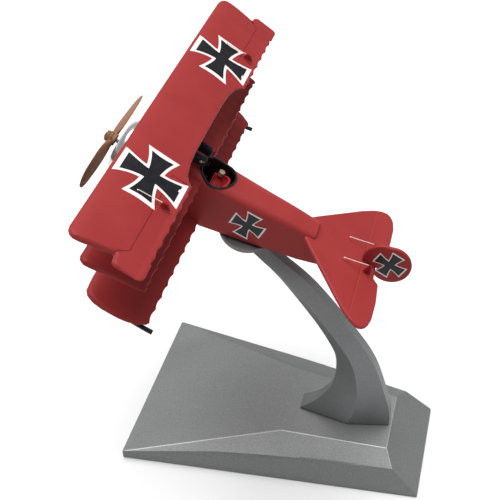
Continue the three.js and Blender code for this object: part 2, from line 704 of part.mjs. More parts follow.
const finish = (color, roughness, metalness = 0) => ({ color, roughness, metalness });
const RED = finish(0xb03a38, 0.5);
const DARK_RED = finish(0x7a1f22, 0.6);
const SILVER = finish(0xd8dadb, 0.28, 0.85);
const STEEL = finish(0x9a9c9e, 0.35, 0.9);
const BLACK = finish(0x17181b, 0.55);
const RUBBER = finish(0x2a2a2c, 0.85);
const WOOD = finish(0x8a5438, 0.5);
const BRASS = finish(0xb59a5a, 0.35, 0.8);
const STAND_GREY = finish(0x7c7d7e, 0.45, 0.5);
const STAND_DARK = finish(0x66686a, 0.45, 0.5);
const WIRE = finish(0xd9cfc6, 0.5, 0.2);

function place(parent, name, geometry, look) {
  const mesh = new THREE.Mesh(geometry, new THREE.MeshStandardMaterial(look));
  mesh.name = name;
  parent.add(mesh);
  return mesh;
}

const sides = [["left", -1], ["right", 1]];

// Stand
place(model, "stand_base", standBase(), STAND_GREY);
place(model, "base_pad", padShape(2.2 + GAP, 0, PAD_THICKNESS), RUBBER);
ARM_SCREW_X.forEach((x, i) => place(model, `arm_screw_${i + 1}`, armScrew(x), STEEL));
const toModel = seat.matrixWorld;
const saddleRoom = saddle().scale(1.04, 1.04, 1.0).translate(0, 0, -0.35).applyMatrix4(toModel);
const screwHoles = ARM_SCREW_X.map((x) => rodUp(x, 5, SCREW.tipZ + GAP, SCREW.shankRadius + GAP));
const aboveSaddle = box(-12, 12, -12, 12, -0.5, 12).applyMatrix4(toModel);
place(model, "stand_arm", cut(standArm(), saddleRoom, aboveSaddle, ...screwHoles), STAND_DARK);
place(seat, "stand_saddle", cut(saddle(), peg(GAP)), STAND_GREY);
place(seat, "stand_peg", peg(0), STEEL);

// Fuselage and what is in it
const hullTool = hullSolid(GAP);
const pegTool = peg(GAP).applyMatrix4(seat.matrix);
place(aircraft, "fuselage", fuselage(), RED);
place(aircraft, "belly_insert", bellyInsert(pegTool), DARK_RED);
place(aircraft, "cockpit_coaming", coaming(COAMING_RADIUS), BLACK);
const inner = hullSolid(-HULL_WALL - GAP, HULL_FRONT, CABIN_REAR);
place(aircraft, "firewall", common(inner, box(4.2, 5.2, -9, 9, -30, 0)), STEEL);
place(aircraft, "cockpit_floor", common(inner, box(12.5, 28, -9, 9, -20.4, -19.6)), DARK_RED);
place(aircraft, "instrument_board", common(inner, box(15.6, 16.2, -9, 9, -14.6, -10.9)), BLACK);
place(aircraft, "pilot_seat", pilotSeat(), DARK_RED);
const column = rod([v3(18.2, 0, -19.2), v3(18.3, 0, -16.5), v3(18.9, 0, -13.8)], 0.3);
place(aircraft, "control_column", column, BLACK);
const compassAt = v3(21.6, 2.6, -13.3);
const compass = bar(compassAt, compassAt.clone().add(v3(0, 0, 1.2)), 0.75, 0.75, 20);
place(aircraft, "compass", compass, BRASS);
for (const [side, sign] of sides) {
  const gun = machineGun().translate(GUN.x, sign * GUN.y, GUN.z);
  place(aircraft, `${side}_gun`, gun, BLACK);
}

// Nose
const nose = new THREE.Group();
nose.position.z = THRUST_LINE_Z;
aircraft.add(nose);
place(nose, "cowling", cowling(), SILVER);
place(nose, "rotary_engine", rotaryEngine(), STEEL);
const spinner = new THREE.Group();
spinner.position.x = PROPELLER_X;
spinner.rotation.x = PROPELLER_REST_ANGLE;
nose.add(spinner);
place(spinner, "propeller", propeller(), WOOD);
place(spinner, "propeller_hub_plate", hubPlate().translate(-1.3, 0, 0), WOOD);
place(spinner, "propeller_shaft", bar(v3(-0.7, 0, 0), v3(5.3, 0, 0), 0.5, 0.5, 16), STEEL);

// Wings, struts and their small fittings
place(aircraft, "upper_wing", upperWing(), RED);
place(aircraft, "lower_wing", lowerWing(hullSolid(0)), RED);
for (const [side, sign] of sides) {
  const y = sign * STRUT_Y;
  place(aircraft, `${side}_middle_wing`, middleWingPanel(sign, hullTool), RED);
  const upper = strut(v3(11.4, y, MIDDLE.z + ABOVE_WING), v3(7.6, y, UPPER.z - BELOW_WING));
  place(aircraft, `${side}_upper_strut`, upper, RED);
  const lower = strut(v3(15.6, y, LOWER.z + ABOVE_WING), v3(11.9, y, MIDDLE.z - BELOW_WING));
  place(aircraft, `${side}_lower_strut`, lower, RED);
  const apex = v3(5.6, sign * 6.0, UPPER.z - BELOW_WING - 0.1);
  const frontLeg = strut(v3(4.6, sign * 4.6, -10.6), apex, 0.9, 0.7);
  const rearLeg = strut(v3(12.4, sign * 4.2, -10.6), apex, 0.9, 0.7);
  place(aircraft, `${side}_cabane_strut`, cut(joined(frontLeg, rearLeg), hullTool), RED);
  const skid = [v3(13.5, sign * 39.2, -25.6), v3(20, sign * 39.7, -25.7), v3(25.3, sign * 40, -25.9)];
  place(aircraft, `${side}_wing_skid`, rod(skid, 0.55, 8), BLACK);
  const horn = box(12.4, 14.0, y - 0.3, y + 0.3, 0.5, 1.8);
  place(aircraft, `${side}_aileron_horn`, horn, DARK_RED);
  place(aircraft, `${side}_aileron_wire`, bar(v3(6.8, y, 1.15), v3(12.1, y, 1.5), 0.15, 0.15, 6), WIRE);
}

// Tail
const tailplaneShape = tailplane();
const rudderShape = rudder();
place(aircraft, "tailplane", tailplaneShape, RED);
place(aircraft, "rudder", cut(rudderShape, box(55, 66.6, -3, 3, -20, TAILPLANE_Z + GAP)), RED);
const skidPoints = [v3(57.8, 0, -17.7), v3(61.5, 0, -19.9), v3(65.4, 0, -21.6)];
place(aircraft, "tail_skid", rod(skidPoints, 0.45), WOOD);
for (const [side, sign] of sides) {
  const y = sign * 3.85;
  const lever = box(63.2, 64.4, y - 0.25, y + 0.25, TAILPLANE_Z + 0.4, TAILPLANE_Z + 2.9);
  place(aircraft, `${side}_elevator_horn`, lever, DARK_RED);
  const wire = bar(v3(57.4, y, TAILPLANE_Z + 0.9), v3(62.9, y, TAILPLANE_Z + 2.7), 0.15, 0.15, 6);
  place(aircraft, `${side}_elevator_wire`, wire, WIRE);
}

// Undercarriage
const onAxle = (y) => v3(AXLE.x, y, AXLE.z);
place(aircraft, "axle", bar(onAxle(-AXLE.halfLength), onAxle(AXLE.halfLength), AXLE.radius), STEEL);
place(aircraft, "axle_fairing", axleFairing(), RED);
for (const [side, sign] of sides) {
  place(aircraft, `${side}_undercarriage_vee`, undercarriageVee(sign), RED);
  const wheel = new THREE.Group();
  wheel.position.set(AXLE.x, sign * WHEEL.y, AXLE.z);
  aircraft.add(wheel);
  place(wheel, `${side}_tyre`, tyre(), RUBBER);
  place(wheel, `${side}_wheel_cover`, wheelCover(), RED);
  const capY = AXLE.halfLength + 0.35;
  const cap = bar(onAxle(sign * capY), onAxle(sign * (capY + 0.5)), 0.8, 0.7, 16);
  place(aircraft, `${side}_axle_cap`, cap, STEEL);
}

export default model;
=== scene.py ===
import json
import math
from functools import partial

import bmesh
import bpy
import numpy as np
from mathutils import Matrix, Vector
from mathutils.geometry import delaunay_2d_cdt


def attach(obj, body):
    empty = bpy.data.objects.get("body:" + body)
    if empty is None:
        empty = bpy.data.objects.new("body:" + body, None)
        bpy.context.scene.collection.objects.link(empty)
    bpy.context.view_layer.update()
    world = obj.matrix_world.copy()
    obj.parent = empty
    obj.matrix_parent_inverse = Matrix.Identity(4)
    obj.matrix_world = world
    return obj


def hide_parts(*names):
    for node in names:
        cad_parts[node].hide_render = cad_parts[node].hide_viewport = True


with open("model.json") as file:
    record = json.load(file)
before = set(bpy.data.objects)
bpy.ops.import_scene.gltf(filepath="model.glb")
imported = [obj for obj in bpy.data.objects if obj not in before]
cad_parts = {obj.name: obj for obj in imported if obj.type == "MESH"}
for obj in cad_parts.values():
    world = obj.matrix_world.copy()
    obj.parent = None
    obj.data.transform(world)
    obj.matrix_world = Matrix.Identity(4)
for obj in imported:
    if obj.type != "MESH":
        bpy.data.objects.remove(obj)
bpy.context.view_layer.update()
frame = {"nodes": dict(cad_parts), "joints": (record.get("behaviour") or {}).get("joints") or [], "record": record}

MM = 0.001
SIDES = (("left", -1), ("right", 1))

# ---------------- frames and measurements

joints = {joint["name"]: joint for joint in frame["joints"]}


def frame_at(origin, x_axis):
    """The frame at a point, with its x axis given, its y axis to starboard and its z axis up."""
    aft = Vector(x_axis).normalized()
    starboard = Vector((0, 1, 0))
    turn = Matrix((aft, starboard, aft.cross(starboard))).transposed()
    return Matrix.Translation(origin) @ turn.to_4x4()


HUB = Vector((-5.3, 0, -19.0))  # the airscrew's centre in the aircraft's frame
hub_frame = frame_at(joints["propeller_spin"]["pos_m"], joints["propeller_spin"]["axis"])
AIRCRAFT = hub_frame @ Matrix.Translation(-HUB * MM)
MODEL = Matrix.Identity(4)


def local_box(node, place=AIRCRAFT):
    """Lowest and highest corner of a CAD node, in millimetres in a frame."""
    inverse = place.inverted()
    corners = np.array([inverse @ v.co for v in frame["nodes"][node].data.vertices]) / MM
    return Vector(corners.min(0)), Vector(corners.max(0))


# ---------------- camera, floor and light

CAMERA_PLACE = Vector((0.03195, -0.1532, 0.2182))
CAMERA_RIGHT = Vector((0.9612, 0.276, 0.0032)).normalized()
CAMERA_BACK = Vector((0.1993, -0.7017, 0.684)).normalized()
CAMERA_LENS = 61.15  # millimetres, on a sensor 36 mm wide

camera_data = bpy.data.cameras.new("camera")
camera_data.lens = CAMERA_LENS
camera_data.sensor_width = 36.0
camera_data.clip_start = 0.005
camera = bpy.data.objects.new("camera", camera_data)
camera_turn = Matrix((CAMERA_RIGHT, CAMERA_BACK.cross(CAMERA_RIGHT), CAMERA_BACK)).transposed()
camera.matrix_world = Matrix.Translation(CAMERA_PLACE) @ camera_turn.to_4x4()
scene = bpy.context.scene
scene.collection.objects.link(camera)
scene.camera = camera
scene.view_settings.view_transform = "Standard"


def soft_sun(name, towards, strength, spread_degrees):
    """A broad even light that shines from a direction."""
    data = bpy.data.lights.new(name, "SUN")
    data.energy = strength
    data.angle = math.radians(spread_degrees)
    light = bpy.data.objects.new(name, data)
    light.rotation_mode = "QUATERNION"
    light.rotation_quaternion = Vector(towards).to_track_quat("Z", "Y")
    scene.collection.objects.link(light)


soft_sun("key_light", (-0.12, 0.08, 1.0), 3.9, 55)
soft_sun("right_light", (0.9, -0.1, 0.5), 0.15, 40)


def feed(node, **inputs):
    """Sets a shader node's inputs, or links them to other nodes' outputs, and gives its own outputs."""
    for key, value in inputs.items():
        socket = node.inputs[key.replace("_", " ")]
        if isinstance(value, bpy.types.NodeSocket):
            node.id_data.links.new(value, socket)
        else:
            socket.default_value = value
    return node.outputs


# The sky is brightest at the horizon.
world = bpy.data.worlds.new("studio")
scene.world = world
world.use_nodes = True
sky = world.node_tree.nodes
direction = feed(sky.new("ShaderNodeTexCoord"))["Generated"]
height = feed(sky.new("ShaderNodeSeparateXYZ"), Vector=direction)["Z"]
glow = feed(sky.new("ShaderNodeMapRange"), Value=height, From_Min=0.02, From_Max=0.3, To_Min=0.6, To_Max=0.26)
feed(sky["Background"], Color=(1, 1, 1, 1), Strength=glow["Result"])

# ---------------- procedural finishes

FINISHES = {}
ROUGHNESS_DRIFT = 0.06
RELIEF_DEPTH = 0.05  # millimetres


def linear(value):
    """Linear light of an 8-bit screen value."""
    v = value / 255
    return v / 12.92 if v <= 0.04045 else ((v + 0.055) / 1.055) ** 2.4


def finish(name, screen_colour, roughness, metallic=0.0, drift=0.1, drift_size=7.0, grain=0.0,
           grain_size=0.2, relief=0.1, relief_size=0.3, streak=(1, 1, 1), gloss=0.25):
    """A finish in mm: brightness and roughness drift over drift_size, under a fine grain and relief."""
    made = bpy.data.materials.new(name)
    made.use_nodes = True
    nodes = made.node_tree.nodes

    def add(kind, **inputs):
        return feed(nodes.new("ShaderNode" + kind), **inputs)

    def noise(size, detail):
        return add("TexNoise", Vector=stretched, Scale=1 / (size * MM), Detail=detail)["Fac"]

    def remap(value, low, high):
        return add("MapRange", Value=value, From_Min=0.3, From_Max=0.7, To_Min=low, To_Max=high)["Result"]

    def scaled(vector, factor):
        node = nodes.new("ShaderNodeVectorMath")
        node.operation = "SCALE"
        return feed(node, Vector=vector, Scale=factor)["Vector"]

    stretched = add("Mapping", Vector=add("TexCoord")["Object"], Scale=streak)["Vector"]
    cloud = noise(drift_size, 3.0)
    speckle = remap(noise(grain_size, 2.0), 1 - grain, 1 + grain)
    colour = scaled([linear(value) for value in screen_colour], remap(cloud, 1 - drift, 1 + drift))
    dull = remap(cloud, roughness - ROUGHNESS_DRIFT, roughness + ROUGHNESS_DRIFT)
    bump = add("Bump", Strength=relief, Distance=RELIEF_DEPTH * MM, Height=noise(relief_size, 2.0))
    feed(nodes["Principled BSDF"], Base_Color=scaled(colour, speckle), Roughness=dull, Metallic=metallic,
         Specular_IOR_Level=gloss, Normal=bump["Normal"])
    FINISHES[name] = made
    return made


finish("red_paint", (151, 50, 50), 0.46, drift=0.05, drift_size=9, relief=0.12, relief_size=0.5,
       grain=0.02, gloss=0.15)
# Darker red; on the control horns it is partly painted shade, the shadow round them.
finish("dark_red_paint", (140, 30, 32), 0.5, drift=0.12, drift_size=3)
finish("silver_paint", (212, 215, 217), 0.22, metallic=0.85, drift=0.04, relief=0.06)
finish("steel", (150, 151, 153), 0.34, metallic=0.9, drift=0.12, drift_size=2)
finish("black_paint", (26, 26, 31), 0.42, drift=0.25, drift_size=1.5, relief=0.2)
finish("tyre_black", (38, 38, 40), 0.78, drift=0.2, drift_size=2, relief=0.3)
finish("pad_rubber", (30, 30, 32), 0.85, drift=0.2, drift_size=4, relief=0.4)
finish("brown_plastic", (140, 99, 74), 0.5, drift=0.16, drift_size=2.4, streak=(1, 0.15, 1),
       relief=0.12, gloss=0.15)
# Paled brass: on the gun cranks the pale colour is partly a painted highlight.
finish("brass_paint", (196, 182, 150), 0.4, metallic=0.5, drift=0.15, drift_size=1)
finish("off_white_paint", (222, 206, 200), 0.45, drift=0.08, drift_size=1.5)
finish("stand_metal", (124, 125, 125), 0.5, metallic=0.45, drift=0.05, drift_size=14, grain=0.16,
       grain_size=0.3, relief=0.35)
finish("arm_metal", (127, 128, 129), 0.48, metallic=0.45, drift=0.05, drift_size=10, grain=0.12,
       grain_size=0.3, relief=0.3)
white_paint = finish("white_paint", (236, 230, 228), 0.5, drift=0.03, drift_size=3)
seat_paint = finish("seat_paint", (176, 46, 50), 0.5, drift=0.12, drift_size=1.5, relief=0.2)
# Near-black red for the cabin's inner walls: painted shade.
cabin_shade = finish("cabin_shade", (44, 22, 26), 0.6, drift=0.3, drift_size=2)
# A bright edge finish for the base's port ridges: partly wear, partly a painted highlight.
worn_and_highlit_edge = finish("worn_and_highlit_edge", (164, 164, 165), 0.42, metallic=0.5, drift=0.12, drift_size=2.5,
                   grain=0.2, grain_size=0.25)

# ---------------- mesh helpers

SAME_POINT = 1e-4  # points closer than this are merged
ON_AXIS = 1e-3  # a ring on the axis of a turned solid keeps this radius
SMALLEST_EDGE = 0.004  # edges shorter than this are closed up after a bevel


def lerp(a, b, t):
    return a + (b - a) * t


def turns(count):
    """Angles spaced evenly round a circle."""
    return [2 * math.pi * i / count for i in range(count)]


def piece(name, mesh, slot, replaces=(), body="aircraft", place=AIRCRAFT, materials=None, smooth=40):
    """Turns a mesh in millimetres into a piece that rides on a body, smooth-shaded below an angle."""
    mesh.transform(Matrix.Scale(MM, 4))
    for each in materials or [FINISHES[slot]]:
        mesh.materials.append(each)
    mesh.shade_smooth()
    mesh.set_sharp_from_angle(angle=math.radians(smooth))
    made = bpy.data.objects.new(name, mesh)
    scene.collection.objects.link(made)
    made.matrix_world = place
    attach(made, body)
    if replaces:
        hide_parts(*replaces)


def mesh_from(bm):
    """A closed mesh with merged vertices and outward faces."""
    bmesh.ops.remove_doubles(bm, verts=bm.verts, dist=SAME_POINT)
    bmesh.ops.dissolve_degenerate(bm, edges=bm.edges, dist=SAME_POINT / 10)
    bmesh.ops.recalc_face_normals(bm, faces=bm.faces)
    if bm.calc_volume(signed=True) < 0:
        bmesh.ops.reverse_faces(bm, faces=bm.faces)
    mesh = bpy.data.meshes.new("mesh")
    bm.to_mesh(mesh)
    bm.free()
    return mesh


def lofted(rings, closed=False):
    """A skin through rings of points. It is capped at both ends, or runs round to its start."""
    bm = bmesh.new()
    rows = [[bm.verts.new(p) for p in ring] for ring in rings]
    pairs = list(zip(rows, rows[1:]))
    if closed:
        pairs.append((rows[-1], rows[0]))
    count = len(rows[0])
    for near, far in pairs:
        for i in range(count):
            j = (i + 1) % count
            bm.faces.new((near[i], near[j], far[j], far[i]))
    if not closed:
        bm.faces.new(rows[0][::-1])
        bm.faces.new(rows[-1])
    return mesh_from(bm)


def add_sheet(bm, rows):
    """A grid of quads through rows of points."""
    made = [[bm.verts.new(p) for p in row] for row in rows]
    for near, far in zip(made, made[1:]):
        for i in range(len(near) - 1):
            bm.faces.new((near[i], near[i + 1], far[i + 1], far[i]))


def smooth_line(points, count):
    """Points spaced evenly by parameter on a smooth curve through the given points."""
    knots = np.array([tuple(p) for p in points], float)
    extended = np.vstack([2 * knots[0] - knots[1], knots, 2 * knots[-1] - knots[-2]])
    line = []
    for u in np.linspace(0, len(knots) - 1, count):
        i = min(int(u), len(knots) - 2)
        t = u - i
        a, b, c, d = extended[i : i + 4]
        line.append(0.5 * (2 * b + (c - a) * t + (2 * a - 5 * b + 4 * c - d) * t**2
                           + (3 * b - a - 3 * c + d) * t**3))
    return np.array(line)


def ring_at(centre, side, up, sides, radius=1.0):
    """A ring of points round a centre, in the plane of two directions."""
    return [centre + radius * (math.cos(a) * side + math.sin(a) * up) for a in turns(sides)]


def turned(profile, axis=(1, 0, 0), centre=(0, 0, 0), sides=48):
    """A solid of revolution from [radius, along] pairs, starting and ending on the axis or closed."""
    axis = Vector(axis).normalized()
    side = axis.orthogonal().normalized()
    up = axis.cross(side)
    rings = [ring_at(Vector(centre) + axis * along, side, up, sides, max(radius, ON_AXIS))
             for radius, along in profile]
    return lofted(rings, closed=profile[0][0] > 0 and profile[-1][0] > 0)


def rod(points, radius, sides=12):
    """A round rod along a line of points."""
    line = [Vector(p) for p in points]
    ahead = [(b - a).normalized() for a, b in zip(line, line[1:])]
    ahead.append(ahead[-1])
    side = ahead[0].orthogonal().normalized()
    rings = []
    for p, direction in zip(line, ahead):
        side = (side - direction * side.dot(direction)).normalized()
        rings.append(ring_at(p, side, direction.cross(side), sides, radius))
    return lofted(rings)


def box(low, high, rounding=0):
    """A box between two corners, with its edges rounded off."""
    size = Vector(high) - Vector(low)
    place = Matrix.Translation((Vector(high) + Vector(low)) / 2) @ Matrix.Diagonal((*size, 1))
    bm = bmesh.new()
    bmesh.ops.create_cube(bm, size=1, matrix=place)
    if rounding:
        bmesh.ops.bevel(bm, geom=bm.edges[:], offset=rounding, segments=3, profile=0.5, affect="EDGES")
    return mesh_from(bm)


def joined(*parts):
    """One mesh from several closed meshes, which may run into each other."""
    bm = bmesh.new()
    for part in parts:
        bm.from_mesh(part)
    mesh = bpy.data.meshes.new("joined")
    bm.to_mesh(mesh)
    bm.free()
    return mesh


def bevelled(mesh, width, angle):
    """Rounds the edges of a mesh that are sharper than an angle in degrees."""
    bm = bmesh.new()
    bm.from_mesh(mesh)
    sharp = [e for e in bm.edges if e.is_manifold and e.calc_face_angle() > math.radians(angle)]
    bmesh.ops.bevel(bm, geom=sharp, offset=width, segments=2, profile=0.5, affect="EDGES",
                    clamp_overlap=True)
    bmesh.ops.remove_doubles(bm, verts=bm.verts, dist=SMALLEST_EDGE)
    bmesh.ops.dissolve_degenerate(bm, edges=bm.edges, dist=SMALLEST_EDGE)
    bm.to_mesh(mesh)
    bm.free()
    return mesh


def cut(mesh, *tools):
    """A mesh with others cut away from it."""
    scratch = bpy.data.objects.new("scratch", mesh)
    scene.collection.objects.link(scratch)
    cutters = []
    for tool in tools:
        cutter = bpy.data.objects.new("cutter", tool)
        scene.collection.objects.link(cutter)
        cutters.append(cutter)
        modifier = scratch.modifiers.new("cut", "BOOLEAN")
        modifier.operation = "DIFFERENCE"
        modifier.solver = "EXACT"
        modifier.object = cutter
    bpy.context.view_layer.update()
    evaluated = scratch.evaluated_get(bpy.context.evaluated_depsgraph_get())
    result = bpy.data.meshes.new_from_object(evaluated)
    for each in [scratch, *cutters]:
        bpy.data.objects.remove(each)
    return result


# ---------------- floor and carried-over CAD nodes

FLOOR_REACH = 3.0  # metres
FLOOR_GREY = (233.65, 233.65, 233.65)  # it throws back 82% of the light
CRISP_ANGLE = 32  # the CAD nodes' edges sharper than this stay crisp

corners = [(-1, -1), (1, -1), (1, 1), (-1, 1)]
floor_mesh = bpy.data.meshes.new("floor")
floor_mesh.from_pydata([(x * FLOOR_REACH, y * FLOOR_REACH, 0) for x, y in corners], [], [(0, 1, 2, 3)])
floor_mesh.materials.append(finish("floor", FLOOR_GREY, 0.9, drift=0.01, drift_size=80, relief=0))
floor = bpy.data.objects.new("floor", floor_mesh)
scene.collection.objects.link(floor)
floor.visible_diffuse = False  # it shows the shadows, and throws no light back up

slot_of = {row["node"]: row["material_slot"] for row in frame["record"]["subparts"]}
for name, node in frame["nodes"].items():
    node.data.materials.clear()
    node.data.materials.append(FINISHES[slot_of[name]])
    weld = node.modifiers.new("weld", "WELD")
    weld.merge_threshold = 1e-6
    if "custom_normal" in node.data.attributes:
        node.data.attributes.remove(node.data.attributes["custom_normal"])
    node.data.shade_smooth()
    split = node.modifiers.new("crisp_edges", "EDGE_SPLIT")
    split.split_angle = math.radians(CRISP_ANGLE)

# ---------------- wings

WING_THICKNESS = 1.65
UPPER_SHARE = 0.72  # part of the thickness above the line from nose to tail
WING_EDGE = 0.26  # half thickness of a trailing edge
RIB_PITCH = 3.9
RIB_SAG = 0.055  # how far the skin dips between two ribs
SCALLOP = 0.4  # how far the trailing edge curves in between two ribs
TIP_ROUNDING = 0.8
TAIL_ROUNDING = 0.3


def between(points, y):
    """The value at a distance from the centre line, read from [distance, value] points."""
    return float(np.interp(abs(y), [p[0] for p in points], [p[1] for p in points]))


def bay(y):
    """0 over a rib, and 1 midway between two ribs."""
    t = (abs(y) / RIB_PITCH) % 1.0
    return 4 * t * (1 - t)


def clamped(value):
    return min(max(value, 0), 1)


class Wing:
    """A wing's outline and skin: its nose and tail lines, and the height of its surfaces."""

    def __init__(self, line, nose, tail, scallops, tip_from):
        self.line = line
        self.nose_points, self.tail_points = nose, tail
        self.scallops, self.tip_from = scallops, tip_from

    def nose(self, y):
        return between(self.nose_points, y)

    def tail(self, y):
        start, stop = self.scallops
        scallop = SCALLOP * bay(y) if start < abs(y) < stop else 0
        return between(self.tail_points, y) - scallop

    def chord(self, y):
        """Nose and tail of the whole aerofoil here, wherever the outline is cut back."""
        y = min(abs(y), self.tip_from)
        return between(self.nose_points, y), max(x for _, x in self.tail_points)

    def height(self, x, y, share):
        """Height over the wing's line of the surface that takes a share of the thickness."""
        front, rear = self.chord(y)
        f = clamped((x - front) / (rear - front))
        rise = 2.271 * f**0.4 * (1 - f) ** 0.95  # 0 at both ends, and nearly 1 at its highest
        sag = RIB_SAG * bay(y) * clamped((f - 0.06) / 0.2)
        thickness = max(abs(share) * WING_THICKNESS * rise - sag, WING_EDGE * min(f * 6, 1))
        return math.copysign(thickness, share)

    def top(self, x, y):
        return self.line + self.height(x, y, UPPER_SHARE)


def wing_line(node):
    """Height of the line from nose to tail in a wing's CAD node."""
    return local_box(node)[1].z - UPPER_SHARE * WING_THICKNESS


def distance_to(points, chain):
    """Distance from each point to a chain of straight segments, in the plane."""
    a, b = chain[:-1][None], chain[1:][None]
    along = b - a
    p = points[:, None]
    t = np.clip(((p - a) * along).sum(-1) / np.maximum((along**2).sum(-1), 1e-12), 0, 1)
    return np.linalg.norm(p - (a + t[..., None] * along), axis=-1).min(1)


def rounded(gap, radius):
    """How full a plate is at a distance from its edge: 0 on the edge, and 1 past the radius."""
    return np.sqrt(1 - (1 - np.minimum(gap / radius, 1)) ** 2)


def spaced(start, stop, fine_ends=(True, True), coarse=0.39, fine=0.12):
    """Stations from start to stop: coarse in the middle, and fine close to the ends that ask for it."""
    near = 3.0
    cuts = [start, start + near if fine_ends[0] else start, stop - near if fine_ends[1] else stop, stop]
    line = []
    for a, b, step in zip(cuts, cuts[1:], [fine, coarse, fine]):
        if b > a:
            line.extend(np.linspace(a, b, math.ceil((b - a) / step) + 1)[:-1])
    return [*line, stop]


def panel_grid(stations, nose, tail, columns, near_edges):
    """Rows of points from a nose line to a tail line, closer together at both."""
    shares = sorted({*[(1 - math.cos(math.pi * i / columns)) / 2 for i in range(columns + 1)], *near_edges})
    return np.array([[(lerp(nose(y), tail(y), s), y) for s in shares] for y in stations])


def closed_plate(grid, fullness, line, height, shares):
    """A closed solid over a grid of points, whose two surfaces are height(x, y, share) over a line."""
    bm = bmesh.new()
    skins = []
    for share in shares:
        skins.append([[Vector((x, y, line + height(x, y, share) * full)) for (x, y), full in zip(*row)]
                      for row in zip(grid, fullness.reshape(grid.shape[:2]))])
        add_sheet(bm, skins[-1])
    columns = [list(zip(*skin)) for skin in skins]
    for top, bottom in (skins, columns):
        for border in (0, -1):
            add_sheet(bm, [top[border], bottom[border]])
    return mesh_from(bm)


def plate(wing, stations, nose, tail, round_nose_from):
    """A closed panel of a wing between a nose line and a tail line, rounded off at its edges."""
    grid = panel_grid(stations, nose, tail, columns=26, near_edges=(0.0008, 0.993, 0.997))
    flat = grid.reshape(-1, 2)
    tail_gap = distance_to(flat, np.array([(tail(y), y) for y in stations]))
    edges = [np.array([(nose(y), y), (tail(y), y)]) for y in (stations[0], stations[-1])]
    for sign in (-1, 1):
        tip = [(nose(y), y) for y in stations if y * sign >= round_nose_from]
        if len(tip) > 1:
            edges.append(np.array(tip))
    tip_gap = np.min([distance_to(flat, edge) for edge in edges], axis=0)
    straight = np.abs(flat[:, 1]) < wing.tip_from
    fullness = rounded(tail_gap, np.where(straight, TAIL_ROUNDING, TIP_ROUNDING))
    fullness *= rounded(tip_gap, TIP_ROUNDING)
    return closed_plate(grid, fullness, wing.line, wing.height, (UPPER_SHARE, UPPER_SHARE - 1))


upper_low, upper_high = local_box("upper_wing")
front, rear = upper_low.x, upper_high.x
UPPER_TIP = upper_high.y - 1.1
HORN_Y = 45.0  # an aileron's horn starts here
HORN_ROOT = (47.4, 8.9)  # y and x of the hinge line's forward end
HINGE_X = 11.5
AILERON_FROM = 20.5
upper = Wing(
    wing_line("upper_wing"),
    nose=[[0, front], [46.6, front], [47.8, front + 0.25], [48.5, front + 0.8], [UPPER_TIP, front + 1.7]],
    tail=[[0, rear - 3.25], [10, rear - 3.2], [14, rear - 2.95], [17.8, rear - 2.2], [19.4, rear - 1.2],
          [20.3, rear], [60, rear]],
    scallops=(AILERON_FROM, HORN_Y),
    tip_from=46.0,
)
PANEL_TIP = [HORN_ROOT, [UPPER_TIP, front + 2.6]]
AILERON_HORN = [HORN_ROOT, [47.7, 9.2], [49.2, 9.4], [49.6, 9.7], [upper_high.y, 10.5]]
AILERON_TIP = [[HORN_Y, rear], [48.6, rear], [49.3, rear - 0.2], [49.75, rear - 0.65],
               [upper_high.y, rear - 1.4]]


def hinge(y):
    """The line between the upper wing and its ailerons, which runs forward to the horn at the tip."""
    return between([[0, HINGE_X], [HORN_Y, HINGE_X], HORN_ROOT], y)


def upper_panel_tail(y):
    if abs(y) < AILERON_FROM:
        return upper.tail(y)
    return hinge(y) if abs(y) < HORN_ROOT[0] else between(PANEL_TIP, y)


def aileron_nose(y):
    return hinge(y) - 0.12 if abs(y) < HORN_ROOT[0] else between(AILERON_HORN, y)


def aileron_tail(y):
    return upper.tail(y) if abs(y) < HORN_Y else between(AILERON_TIP, y)


steps = [sign * y for sign in (-1, 1) for y in (AILERON_FROM, AILERON_FROM + 0.01)]
stations = sorted({*spaced(-UPPER_TIP, UPPER_TIP), *steps})
piece("upper_wing_skin", plate(upper, stations, upper.nose, upper_panel_tail, 46.0), "red_paint",
      ["upper_wing"])
for side, sign in SIDES:
    stations = [sign * y for y in spaced(AILERON_FROM - 0.35, upper_high.y, (False, True))]
    aileron = plate(upper, stations, aileron_nose, aileron_tail, HORN_ROOT[0])
    piece(f"{side}_aileron", aileron, "red_paint")

middle_low, middle_high = local_box("right_middle_wing")
front, rear, tip = middle_low.x, middle_high.x, middle_high.y
middle_wing = Wing(
    wing_line("right_middle_wing"),
    nose=[[0, front], [tip - 1.6, front], [tip - 0.7, front + 0.3], [tip, front + 1.4]],
    tail=[[0, rear], [tip - 2.2, rear], [tip - 1.7, rear - 0.5], [tip - 1.3, rear - 3.6], [tip, front + 2.0]],
    scallops=(5, tip - 3),
    tip_from=tip - 3,
)
for side, sign in SIDES:
    stations = [sign * y for y in spaced(4.3, tip, (False, True))]
    skin = plate(middle_wing, stations, middle_wing.nose, middle_wing.tail, tip - 1.8)
    piece(f"{side}_middle_wing_skin", skin, "red_paint", [f"{side}_middle_wing"])

LOWER_WING_DROP = 11.9  # from the middle wing down to the lower one
lower_low, lower_high = local_box("lower_wing")
front, rear, tip = lower_low.x, lower_high.x, lower_high.y
lower = Wing(
    middle_wing.line - LOWER_WING_DROP,
    nose=[[0, front], [tip - 6, front + 0.1], [tip - 2.4, front + 0.4], [tip - 1.2, front + 1.2],
          [tip - 0.4, front + 2.8], [tip, front + 5.2]],
    tail=[[0, rear], [tip - 3, rear], [tip - 2.2, rear - 0.5], [tip - 1.0, rear - 2.4],
          [tip - 0.3, rear - 4.6], [tip, rear - 6.8]],
    scallops=(5, tip - 3),
    tip_from=tip - 5,
)
piece("lower_wing_skin", plate(lower, spaced(-tip, tip), lower.nose, lower.tail, tip - 3),
      "red_paint", ["lower_wing"])

# ---------------- painted crosses

WHITE_LAYER = (-0.02, 0.04)  # bottom and top over the surface
BLACK_LAYER = (0.01, 0.06)


